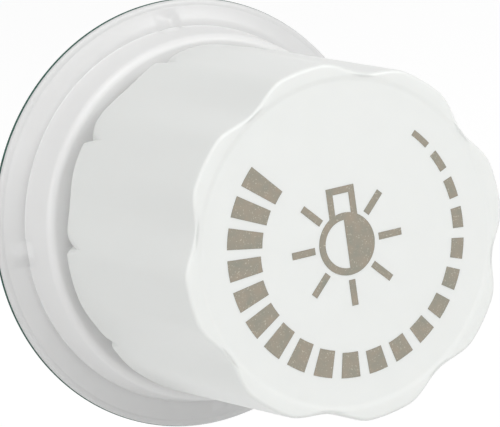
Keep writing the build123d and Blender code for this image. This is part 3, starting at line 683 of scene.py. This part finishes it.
def collar_and_tower():
    """Visible collar, the ledge under the knob and the tower inside it."""
    corners = [
        (neck_bore_r, lip_front, 0), (collar_base_r, lip_front, 0),
        (collar_base_r + collar_foot_flare, bezel_crown - seam_dip - seam_step, 0),
        (collar_base_r, bezel_crown - seam_dip + seam_step, collar_foot_round),
        (collar_top_r, collar_top, collar_round), (tower_r, collar_top, 0.3 * mm),
        (tower_r, tower_top, tower_round), (bushing_hole_r, tower_top, 0.15 * mm),
        (bushing_hole_r, tower_top - tower_roof, 0), (tower_inner_r, tower_top - tower_roof, 0.3 * mm),
        (tower_inner_r, cavity_low, 0), (neck_bore_r, cavity_low, 0)]
    lathe("collar_and_tower", corners, "collar_plastic", "module", ["front_housing"], segments=288, steps=8)


def thread_share(clock, front):
    """How deep the thread's groove is at a place, from 0 on the crest to 1 at the root."""
    turn = (front / thread_pitch + clock / 360) % 1
    flank = abs(turn - 0.5) * 2
    groove = min(1.0, max(0.0, (thread_root_end - flank) / thread_flank))
    into = min(thread_start - front, front - neck_end - thread_end_gap)
    return groove * min(1.0, max(0.0, into / thread_fade))


def neck():
    """Threaded neck with its keyway, its end face and its bore."""
    key_edge = degrees(key_half / neck_r)
    clocks = sorted([360 * j / 288 for j in range(288)]
                    + [90 + way * (key_edge + off) for way in (-1, 1) for off in (-0.02, 0.02)])
    points = []
    fronts = [(neck_end + (lip_front - neck_end) * i / (thread_rows - 1)) for i in range(thread_rows)]
    path = [(1, neck_bore_r, lip_front), (1, neck_bore_r, neck_end), (0, neck_end_round, neck_end)]
    path += [(0, neck_end_round * (1 - k / 3), neck_end + neck_end_round * k / 3) for k in (1, 2, 3)]
    path += [(0, 0, f) for f in fronts if f > neck_end + neck_end_round * 1.2]
    for plain, size, front in path:
        for clock in clocks:
            radius = size
            if not plain:
                in_key = abs(neck_r * sin(radians(clock - 90))) < key_half and 0 < clock < 180
                key_here = in_key and front < key_end
                radius = neck_r - size - thread_depth * thread_share(clock, front)
                radius = min(radius, key_floor_r) if key_here else radius
            points.append(spot(radius, clock, front))
    piece("neck_thread", points, wrapped_faces(len(path), len(clocks)), "collar_plastic", "module",
          crease=50)


# Bezel ring

def band_front(radius):
    """Front of the domed band at a radius, without the ribs."""
    if radius >= bezel_shoulder_r:
        share = min(1.0, (radius - bezel_shoulder_r) / (bezel_r - bezel_shoulder_r))
        return bezel_edge + (bezel_shoulder - bezel_edge) * sqrt(max(0.0, 1 - share ** 2.4))
    share = (radius - bezel_seam_r) / (bezel_shoulder_r - bezel_seam_r)
    dip = max(0.0, 1 - (radius - bezel_seam_r) / seam_dip_width) ** 2 * seam_dip
    swell = bezel_swell * 4 * share * (1 - share)
    return bezel_crown + (bezel_shoulder - bezel_crown) * share + swell - dip


def rib_height(radius, clock):
    """Height of a rib over the band."""
    step = 360 / rib_count
    off = (clock + step / 2) % step - step / 2
    side, along = radius * sin(radians(off)), radius * cos(radians(off))
    if abs(side) >= rib_half or along > rib_end_r:
        return 0.0
    height = rib_rise * (1 + cos(pi * side / rib_half)) / 2
    into = along - (rib_end_r - rib_end_round)
    if into > 0:
        height *= (1 + cos(pi * min(into / rib_end_round, 1.0))) / 2
    return height


def bezel():
    """Flange ring: lip, inner step, domed band with its ribs, edge and back with the gasket's rebate."""
    clocks = {float(j) for j in range(360)}
    for i in range(rib_count):
        middle = i * 360 / rib_count
        clocks |= {round((middle + off * rib_column_step) % 360, 4)
                   for off in range(-rib_columns, rib_columns + 1)}
    clocks = sorted(clocks)
    span = bezel_r - bezel_seam_r
    radii = [bezel_seam_r + span * k / band_rows for k in range(band_rows + 1)]
    path = [(bezel_bore_r, 0), (bezel_bore_r, lip_front), (bezel_seam_r - seam_overlap, lip_front),
            (bezel_seam_r - seam_overlap, bezel_crown - seam_dip - seam_step)]
    after = [(bezel_r, rebate_front), (rebate_r, rebate_front), (rebate_r, 0)]
    points = [spot(r, c, f) for r, f in path for c in clocks]
    for r in radii:
        points += [spot(r, c, band_front(r) + rib_height(r, c)) for c in clocks]
    points += [spot(r, c, f) for r, f in after for c in clocks]
    rows = len(path) + len(radii) + len(after)
    piece("bezel_skin", points, wrapped_faces(rows, len(clocks), True), "bezel_plastic", "module",
          ["bezel_ring"], crease=35)


def rib_feet():
    """Ends of the ribs that run up the collar's wall and fade into it."""
    across, up = 25, 13
    for i in range(rib_count):
        clock = i * 360 / rib_count
        side = spot(1, clock + 90, 0)
        points = []
        for sunk in (rib_foot_thick, rib_foot_sunk):
            for k in range(up):
                share = k / (up - 1)
                front = rib_foot_low + rib_foot_height * share
                fall = (front - bezel_crown) / (collar_top - bezel_crown)
                wall = collar_base_r - (collar_base_r - collar_top_r) * fall
                for j in range(across):
                    off = 2 * j / (across - 1) - 1
                    reach = sqrt(wall ** 2 - (off * rib_half) ** 2) - sunk
                    if sunk == rib_foot_sunk:
                        reach += rib_foot_rise * (1 + cos(pi * off)) / 2 * (1 + cos(pi * share)) / 2
                    points.append(spot(reach, clock, front) + side * (off * rib_half))
        sheet = across * up
        faces = []
        for k in range(up - 1):
            for j in range(across - 1):
                a, b = k * across + j, (k + 1) * across + j
                faces += [(a, b, b + 1, a + 1), (sheet + a, sheet + a + 1, sheet + b + 1, sheet + b)]
        edge = list(range(across)) + [k * across + across - 1 for k in range(1, up)]
        edge += [(up - 1) * across + j for j in range(across - 2, -1, -1)]
        edge += [k * across for k in range(up - 2, 0, -1)]
        faces += [(a, b, sheet + b, sheet + a) for a, b in zip(edge, edge[1:] + edge[:1])]
        piece(f"rib_foot_{i + 1}", points, faces, "collar_plastic", "module")


# Seal and ring nut

def seal():
    """Rubber seal squeezed a little past the flange's edge, where its dark lip also stands in as painted
    shade along the flange's back edge.
    """
    inner_r = reach_of("face_gasket") - seal_width
    low, high = front_of("face_gasket")
    lathe("seal_lip_and_painted_edge_shade", [(inner_r, low, 0.1 * mm), (seal_r, low, 0.12 * mm), (seal_r, high, 0.1 * mm),
                       (inner_r, high, 0.05 * mm)], "seal_rubber", "module", ["face_gasket"], segments=240)


def nut_radius(clock, radius, on_rim):
    """Radius of the nut's outline: notches, and fine grip ribs between them."""
    if not on_rim:
        return radius
    step = 360 / nut_notches
    off = (clock + step / 2) % step - step / 2
    across = abs(nut_r * sin(radians(off)))
    if across < nut_notch_half:
        return min(radius, nut_r - nut_notch_depth)
    if across > grip_start:
        return radius - grip_depth * (1 - cos(radians(clock * 360 / grip_step))) / 2
    return radius


def ring_nut():
    """Castellated nut that clamps the wall plate."""
    low, high = front_of("ring_nut")
    step = 360 / nut_notches
    edge = degrees(nut_notch_half / nut_r)
    clocks = {round((step * i + way * edge + off) % 360, 3)
              for i in range(nut_notches) for way in (-1, 1) for off in (-0.05, 0.05)}
    clocks = sorted(clocks | {j / 2 for j in range(720)})
    path = [(nut_bore_r, low + nut_chamfer, False), (nut_bore_r + nut_chamfer, low, False),
            (nut_r - nut_chamfer, low, True), (nut_r - 0.3 * nut_chamfer, low + 0.3 * nut_chamfer, True),
            (nut_r, low + nut_chamfer, True), (nut_r, high - nut_chamfer, True),
            (nut_r - 0.3 * nut_chamfer, high - 0.3 * nut_chamfer, True), (nut_r - nut_chamfer, high, True),
            (nut_bore_r + nut_chamfer, high, False), (nut_bore_r, high - nut_chamfer, False)]
    points = [spot(nut_radius(clock, r, on_rim), clock, front)
              for r, front, on_rim in path for clock in clocks]
    piece("nut_body", points, wrapped_faces(len(path), len(clocks), True), "nut_plastic", "nut",
          ["ring_nut"], crease=30)


# Wires and small turned pieces

def at(x, up, front):
    """Point from millimetres to the right, up and out of the wall."""
    return Vector((x, -front, up)) * mm


def curve_mesh(name, curve):
    """Points and faces of a thick curve or a raised text."""
    guide = bpy.data.objects.new(name, curve)
    bpy.context.scene.collection.objects.link(guide)
    solid = bpy.data.meshes.new_from_object(guide.evaluated_get(bpy.context.evaluated_depsgraph_get()))
    bpy.data.objects.remove(guide)
    return [v.co.copy() for v in solid.vertices], [tuple(p.vertices) for p in solid.polygons]


def wire(name, path, radius, slot, body="module", stands_for=()):
    """Round wire along a list of points."""
    curve = bpy.data.curves.new(name, "CURVE")
    curve.dimensions = "3D"
    curve.bevel_depth, curve.bevel_resolution, curve.use_fill_caps = radius, 3, True
    line = curve.splines.new("POLY")
    line.points.add(len(path) - 1)
    for point, place in zip(line.points, path):
        point.co = (*place, 1.0)
    points, faces = curve_mesh(name, curve)
    return piece(name, points, faces, slot, body, stands_for)


def spindle(name, profile, start, along, slot, body="module", stands_for=(), segments=32, closed=False):
    """Turned piece about any axis; the profile is (radius, distance) in millimetres, capped or closed."""
    along = Vector(along).normalized()
    side = along.orthogonal().normalized()
    other = along.cross(side)
    points = []
    for r, distance in profile:
        for j in range(segments):
            angle = 2 * pi * j / segments
            outward = side * cos(angle) + other * sin(angle)
            points.append(start + (along * distance + outward * max(r, spindle_tip)) * mm)
    faces = wrapped_faces(len(profile), segments, closed)
    if not closed:
        faces += [tuple(range(segments))[::-1], tuple(range(len(points) - segments, len(points)))]
    return piece(name, points, faces, slot, body, stands_for, crease=50)


def slab(name, x, up, front, slot, body="module", stands_for=(), rounding=0.15):
    """Moulded box between pairs of millimetre values, with rounded edges."""
    made = bmesh.new()
    bmesh.ops.create_cube(made, size=1.0)
    for vertex in made.verts:
        share = [value + 0.5 for value in vertex.co]
        vertex.co = at(x[0] + (x[1] - x[0]) * share[0], up[0] + (up[1] - up[0]) * share[1],
                       front[0] + (front[1] - front[0]) * share[2])
    bmesh.ops.recalc_face_normals(made, faces=made.faces)
    bmesh.ops.bevel(made, geom=made.edges[:], offset=rounding * mm, segments=3, profile=0.5, affect="EDGES")
    made.verts.index_update()
    points, faces = [v.co.copy() for v in made.verts], [tuple(v.index for v in f.verts) for f in made.faces]
    made.free()
    return piece(name, points, faces, slot, body, stands_for, crease=30)


def spring_and_coil():
    """Return spring of the push switch and the winding of the choke."""
    low, high = front_of("return_spring")
    steps = spring_steps * spring_turns
    path = []
    for i in range(steps + 1):
        turn = spring_turns * i / steps
        rise = min(max((turn - spring_flat_turns) / (spring_turns - 2 * spring_flat_turns), 0), 1)
        front = low + spring_wire_r + (high - low - 2 * spring_wire_r) * rise
        path.append(spot(spring_r, 360 * turn, front))
    coil = wire("return_coil", path, spring_wire_r, "spring_steel", "module", ["return_spring"])
    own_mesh(coil)

    box_low, box_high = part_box("choke_coil")
    low, high = front_of("choke_coil")
    centre = Vector(((box_low.x + box_high.x) / 2, 0, (box_low.z + box_high.z) / 2))
    thick = (high - low) / choke_turns
    winding_r = (box_high.x - box_low.x) / 2 - thick / 2
    notch_r, notch_top = winding_r + 0.83 * mm, high + 0.68 * mm
    path = [centre + spot(notch_r, choke_start, notch_top),
            centre + spot(notch_r, choke_start, high - 0.1 * mm)]
    steps = choke_steps * choke_turns
    for i in range(steps + 1):
        depth = thick / 2 + (high - low - thick) * i / steps
        path.append(centre + spot(winding_r, choke_start + 360 * i / choke_steps, high - depth))
    path += [centre + spot(notch_r, choke_end, low + 0.6 * mm),
             centre + spot(notch_r, choke_end, notch_top)]
    wire("choke_wire", path, thick * 0.49, "copper_wire", "module", ["choke_coil"])
    lathe("choke_layer", [(choke_core_r, low, 0), (winding_r, low, 0), (winding_r, high, 0),
                          (choke_core_r, high, 0)],
          "copper_wire", "module", segments=64, centre=(centre.x, centre.z))


# Small components on the board, in millimetres

def axial_lead(name, start, end, drop, slot="zinc_steel"):
    """Lead of a lying component: down to the board at both ends, with rounded bends."""
    along = (end - start).normalized() * mm
    down = at(0, 0, 1)
    path = [start + down * drop, start + down * 0.25, start + down * 0.07 + along * 0.07,
            start + along * 0.25, end - along * 0.25, end + down * 0.07 - along * 0.07,
            end + down * 0.25, end + down * drop]
    wire(name, path, lead_r * mm, slot)


def axial_parts():
    """Resistors, trigger diode and fuse, each with its own body and leads."""
    height = board_back - axial_lift
    half = [(0, 0), (0.5, 0.02), (0.68, 0.12), (0.75, 0.35), (0.73, 0.75), (0.62, 1.05), (0.6, 1.4)]
    dogbone = half + [(r, resistor_length - d) for r, d in half[::-1]]
    for i, x in enumerate(resistor_x):
        foot = at(x, -resistor_length / 2, height)
        spindle(f"resistor_{i + 1}", dogbone, foot, (0, 0, 1), "resistor_coat",
                stands_for=["resistors"] if i == 0 else ())
        for k, (slot, d, r) in enumerate(resistor_bands):
            band = [(r, d), (r + band_rise, d + 0.02), (r + band_rise, d + band_width - 0.02),
                    (r, d + band_width)]
            spindle(f"resistor_band_{i + 1}_{k + 1}", band, foot, (0, 0, 1), slot)
        axial_lead(f"resistor_lead_{i + 1}", at(x, -resistor_lead_up, height),
                   at(x, resistor_lead_up, height), axial_drop)
    bead = [(0, 0), (0.4, 0.03), (0.66, 0.2), (0.74, 0.5), (0.74, 1.5), (0.66, 1.8), (0.4, 1.97), (0, 2.0)]
    diac_start = at(diac_body_x, diac_up, height)
    spindle("diac_glass", bead, diac_start, (1, 0, 0), "clear_glass", stands_for=["diac"])
    slug = [(0, 0.55), (0.45, 0.6), (0.45, 1.4), (0, 1.45)]
    spindle("diac_slug", slug, diac_start, (1, 0, 0), "copper_wire")
    axial_lead("diac_lead", at(diac_lead_x[0], diac_up, height), at(diac_lead_x[1], diac_up, height),
               axial_drop)
    fuse_start = at(fuse_x, fuse_low, height)
    tube = [(0, 0.5), (fuse_glass_r, 0.5), (fuse_glass_r, fuse_length - 0.5), (0, fuse_length - 0.5)]
    spindle("fuse_glass", tube, fuse_start, (0, 0, 1), "clear_glass", stands_for=["fuse"])
    cap = [(0, 0), (0.8, 0), (0.95, 0.06), (1.0, 0.2), (1.0, 0.85), (0.97, 0.95), (0.9, 1.0), (0, 1.0)]
    for i, (start, way) in enumerate(((0, 1), (fuse_length, -1))):
        spindle(f"fuse_cap_{i + 1}", cap, fuse_start + at(0, start, 0), (0, 0, way), "zinc_steel")
    element = []
    for k in range(fuse_coil_points):
        turn = k * fuse_coil_step
        up = 0.9 + (fuse_length - 1.8) * k / (fuse_coil_points - 1)
        element.append(fuse_start + at(fuse_coil_r * sin(turn), up, fuse_coil_r * cos(turn)))
    wire("fuse_wire", element, fuse_wire_r * mm, "zinc_steel")


def boxed_parts():
    """Capacitor, power switch and chip, with rounded mouldings, marks and legs."""
    slab("capacitor_box", *capacitor_span, "film_box", stands_for=["film_capacitor"], rounding=0.45)
    for i, x in enumerate(capacitor_feet_x):
        slab(f"capacitor_foot_{i + 1}", (x - 0.3, x + 0.3), (6.2, 8.6), (board_back - 0.5, board_back),
             "film_box")
    slab("triac_body", *triac_span, "chip_black", stands_for=["triac"], rounding=0.25)
    for i in range(3):
        x = triac_x + triac_leg_pitch * (i - 1)
        slab(f"triac_shoulder_{i + 1}", (x - 0.6, x + 0.6), (triac_leg_up - 0.25, triac_leg_up + 0.25),
             (-4.7, -3.8), "zinc_steel", rounding=0.1)
        slab(f"triac_leg_{i + 1}", (x - 0.35, x + 0.35), (triac_leg_up - 0.2, triac_leg_up + 0.2),
             (-4.0, board_back + 0.2), "zinc_steel", rounding=0.06)
    dimple = [(0.75, 0), (0.68, 0.03), (0.6, 0.03), (0, 0.02)]
    spindle("triac_dimple", dimple, at(triac_x, -6.02, -9.9), (0, 0, 1), "zinc_steel")
    rivet = [(1.0, 0), (0.95, 0.25), (0.6, 0.42), (0, 0.45)]
    spindle("sink_rivet", rivet, at(triac_x, -9.6, -10.4), (0, 0, -1), "bright_brass")
    slab("chip_body", (chip_x - chip_half, chip_x + chip_half), (chip_up - 1.1, chip_up + 1.1),
         (-4.0, -3.1), "chip_black", stands_for=["control_chip"], rounding=0.08)
    for i in range(4):
        up = chip_up + chip_leg_pitch * (i - 1.5)
        for way in (-1, 1):
            x = chip_x + way * chip_half
            path = [at(x - way * 0.1, up, -3.45), at(x + way * 0.15, up, -3.45),
                    at(x + way * 0.25, up, -3.3), at(x + way * 0.28, up, -3.1),
                    at(x + way * 0.55, up, -3.04)]
            wire(f"chip_leg_{i + 1}_{'left' if way < 0 else 'right'}", path, chip_leg_r * mm, "zinc_steel")


def solder_and_tracks():
    """Solder cones on the board's front and the tracks between them."""
    resistors = [(x, way * resistor_lead_up) for x in resistor_x for way in (-1, 1)]
    diac = [(x, diac_up) for x in diac_lead_x]
    fuse = [(fuse_x, up) for up in fuse_pad_up]
    pins = [(pin_x, up) for up in (-pin_pitch, 0, pin_pitch)]
    bars = [(x, terminal_bar_up) for x in (-terminal_pitch, 0, terminal_pitch)]
    cone = [(0.62, -0.02), (0.5, 0.08), (0.34, 0.22), (0.24, 0.42), (0.12, 0.5), (0, 0.52)]
    for i, (x, up) in enumerate(resistors + diac + fuse + pins + bars):
        spindle(f"solder_{i + 1}", cone, at(x, up, board_front), (0, -1, 0), "sink_metal", segments=20)
    runs = [(pins[0], (-8.4, -5.2), bars[0]), (resistors[0], (0.8, -3.6), bars[1]),
            (resistors[2], (5.0, -3.4), bars[2]), (resistors[1], (1.9, 3.4), diac[0]),
            (resistors[3], (5.25, 3.2), diac[1]), (fuse[1], (6.4, 4.6), diac[1]),
            (pins[2], (-8.0, 5.6), (-3.0, 9.0), (1.95, 9.0), diac[0]), (fuse[0], (7.6, -3.6), bars[2])]
    for i, run in enumerate(runs):
        path = [at(x, up, board_front + 0.01) for x, up in run]
        wire(f"track_{i + 1}", path, track_r * mm, "board_laminate")


# Back of the module

def numeral(name, text, size, x, up, front, slot):
    """Raised plain numeral, read from behind, centred at a place in millimetres."""
    curve = bpy.data.curves.new(name, "FONT")
    curve.body, curve.size, curve.extrude = text, size * mm, numeral_rise
    curve.bevel_depth, curve.bevel_resolution = numeral_round, 1
    curve.align_x, curve.align_y = "CENTER", "CENTER"
    flat, faces = curve_mesh(name, curve)
    points = [at(x, up, front) + Vector((-p.x, p.z, p.y)) for p in flat]
    return piece(name, points, faces, slot, "module", crease=30)


def back_details():
    """Funnels, partitions and numerals of the terminal block; rim and turning mark of the rear cover."""
    block_back = front_of("terminal_block")[0] / mm
    cover_back = front_of("rear_cover")[0] / mm
    for i in range(3):
        x = terminal_pitch * (i - 1)
        cone = [(1.3, -0.1), (1.32, 0.05), (1.55, 0.3), (1.75, 0.34), (1.95, 0.26), (2.05, -0.1)]
        spindle(f"wire_funnel_{i + 1}", cone, at(x, wire_up, block_back), (0, 1, 0), "terminal_plastic",
                segments=64, closed=True)
        numeral(f"terminal_number_{i + 1}", str(3 - i), numeral_size, x, numeral_up, block_back,
                "terminal_plastic")
    for i, x in enumerate((-terminal_pitch / 2, terminal_pitch / 2)):
        slab(f"partition_{i + 1}", (x - partition_half, x + partition_half),
             (-terminal_half, terminal_half), (block_back - 0.45, block_back + 0.2),
             "terminal_plastic", rounding=0.12)
    rim_inner, rim_outer = cover_rim_r
    rim_back = cover_back - cover_rim_rise
    rim = [(rim_inner, cover_back + 0.02, 0), (rim_inner + 0.1, rim_back, 0.08),
           (rim_outer - 0.1, rim_back, 0.08), (rim_outer, cover_back + 0.02, 0)]
    corners = [(r * mm, f * mm, c * mm) for r, f, c in rim]
    lathe("cover_rim", corners, "grey_moulding", "module", segments=180)
    points = []
    for k in range(turning_steps + 1):
        share = k / turning_steps
        angle = radians(turning_half_angle * (2 * share - 1))
        width = turning_width[0] + (turning_width[1] - turning_width[0]) * share
        for r in (turning_r, turning_r + width):
            for front in (cover_back + 0.02, cover_back - turning_rise):
                points.append(at(trimmer_x - r * sin(angle), trimmer_up + r * cos(angle), front))
    faces = [(0, 1, 3, 2), tuple(4 * turning_steps + k for k in (2, 3, 1, 0))]
    for k in range(turning_steps):
        for a, b in ((0, 1), (1, 3), (3, 2), (2, 0)):
            faces.append((4 * k + a, 4 * k + b, 4 * k + 4 + b, 4 * k + 4 + a))
    piece("turning_mark", points, faces, "grey_moulding", "module", crease=30)


knob_shell()
knob_hub()
collar_and_tower()
neck()
bezel()
rib_feet()
seal()
ring_nut()
spring_and_coil()
axial_parts()
boxed_parts()
solder_and_tracks()
back_details()


# Stage, lights and camera

floor_glow = 1.15
floor_glow_share = 0.72
floor_drop = 12 * mm
floor_half = 1.5
floor_level = cad_box[0][2] - floor_drop
fill_strength = 0.37
object_centre = Vector((0, -7 * mm, 0))
lamp_size = 0.45
lamp_distance = 0.95


def background_rays(tree):
    """1 for the rays that see the background: from the camera, off gloss and through glass."""
    info = tree.nodes.new("ShaderNodeLightPath")
    total = info.outputs["Is Camera Ray"]
    for other in ("Is Glossy Ray", "Is Transmission Ray"):
        either = tree.nodes.new("ShaderNodeMath")
        either.operation = "MAXIMUM"
        tree.links.new(total, either.inputs[0])
        tree.links.new(info.outputs[other], either.inputs[1])
        total = either.outputs[0]
    return total


def stage_material():
    """Pale floor: near white to the camera with the object's shadow kept."""
    material, tree = blank("stage_white", (0.86, 0.86, 0.86), 0.9)
    glow = tree.nodes.new("ShaderNodeEmission")
    glow.inputs["Strength"].default_value = floor_glow
    share = tree.nodes.new("ShaderNodeMath")
    share.operation = "MULTIPLY"
    share.inputs[1].default_value = floor_glow_share
    mix = tree.nodes.new("ShaderNodeMixShader")
    tree.links.new(background_rays(tree), share.inputs[0])
    tree.links.new(share.outputs[0], mix.inputs["Fac"])
    tree.links.new(shader_of(tree).outputs[0], mix.inputs[1])
    tree.links.new(glow.outputs[0], mix.inputs[2])
    tree.links.new(mix.outputs[0], tree.nodes["Material Output"].inputs["Surface"])
    return material


mesh = bpy.data.meshes.new("floor")
corners = [(x * floor_half, y * floor_half, floor_level) for x, y in ((-1, -1), (1, -1), (1, 1), (-1, 1))]
mesh.from_pydata(corners, [], [(0, 1, 2, 3)])
mesh.materials.append(stage_material())
floor_plane = bpy.data.objects.new("floor", mesh)
bpy.context.scene.collection.objects.link(floor_plane)

world = bpy.data.worlds.new("studio")
bpy.context.scene.world = world
world.use_nodes = True
tree = world.node_tree
background = tree.nodes["Background"]
background.inputs["Color"].default_value = (1, 1, 1, 1)
strength = tree.nodes.new("ShaderNodeMapRange")
strength.inputs["To Min"].default_value = fill_strength
strength.inputs["To Max"].default_value = 1.0
tree.links.new(background_rays(tree), strength.inputs["Value"])
tree.links.new(strength.outputs["Result"], background.inputs["Strength"])


def softbox(name, azimuth, elevation, power):
    """Square area light that faces the object; azimuth runs from the front towards the left side."""
    light = bpy.data.lights.new(name, "AREA")
    light.size = lamp_size
    light.energy = power
    lamp = bpy.data.objects.new(name, light)
    a, e = radians(azimuth), radians(elevation)
    direction = Vector((-sin(a) * cos(e), -cos(a) * cos(e), sin(e)))
    lamp.location = object_centre + direction * lamp_distance
    lamp.rotation_euler = (-direction).to_track_quat("-Z", "Y").to_euler()
    bpy.context.scene.collection.objects.link(lamp)


softbox("right_light", -35, 30, 2.9)
softbox("top_light", 12, 58, 2.5)
softbox("left_light", 35, 5, 0.6)
softbox("side_light", 78, 14, 1.8)

# The camera's place and direction were fitted to the print on the knob's face.
camera_place = Vector((-163.2, -335.0, 64.84)) * mm
camera_right = Vector((0.8723, -0.4689, -0.1382))
camera_up = Vector((0.2029, 0.0901, 0.9750))
camera_back = camera_right.cross(camera_up).normalized()
camera_up = camera_back.cross(camera_right).normalized()
camera_data = bpy.data.cameras.new("camera")
camera_data.sensor_fit = "HORIZONTAL"
camera_data.sensor_width = 36.0
camera_data.lens = 285.95
camera_data.clip_start = 0.01
camera = bpy.data.objects.new("camera", camera_data)
camera.matrix_world = Matrix.Translation(camera_place) @ Matrix(
    (camera_right.normalized(), camera_up, camera_back)).transposed().to_4x4()
bpy.context.scene.collection.objects.link(camera)
bpy.context.scene.camera = camera
bpy.context.scene.view_settings.view_transform = "Standard"
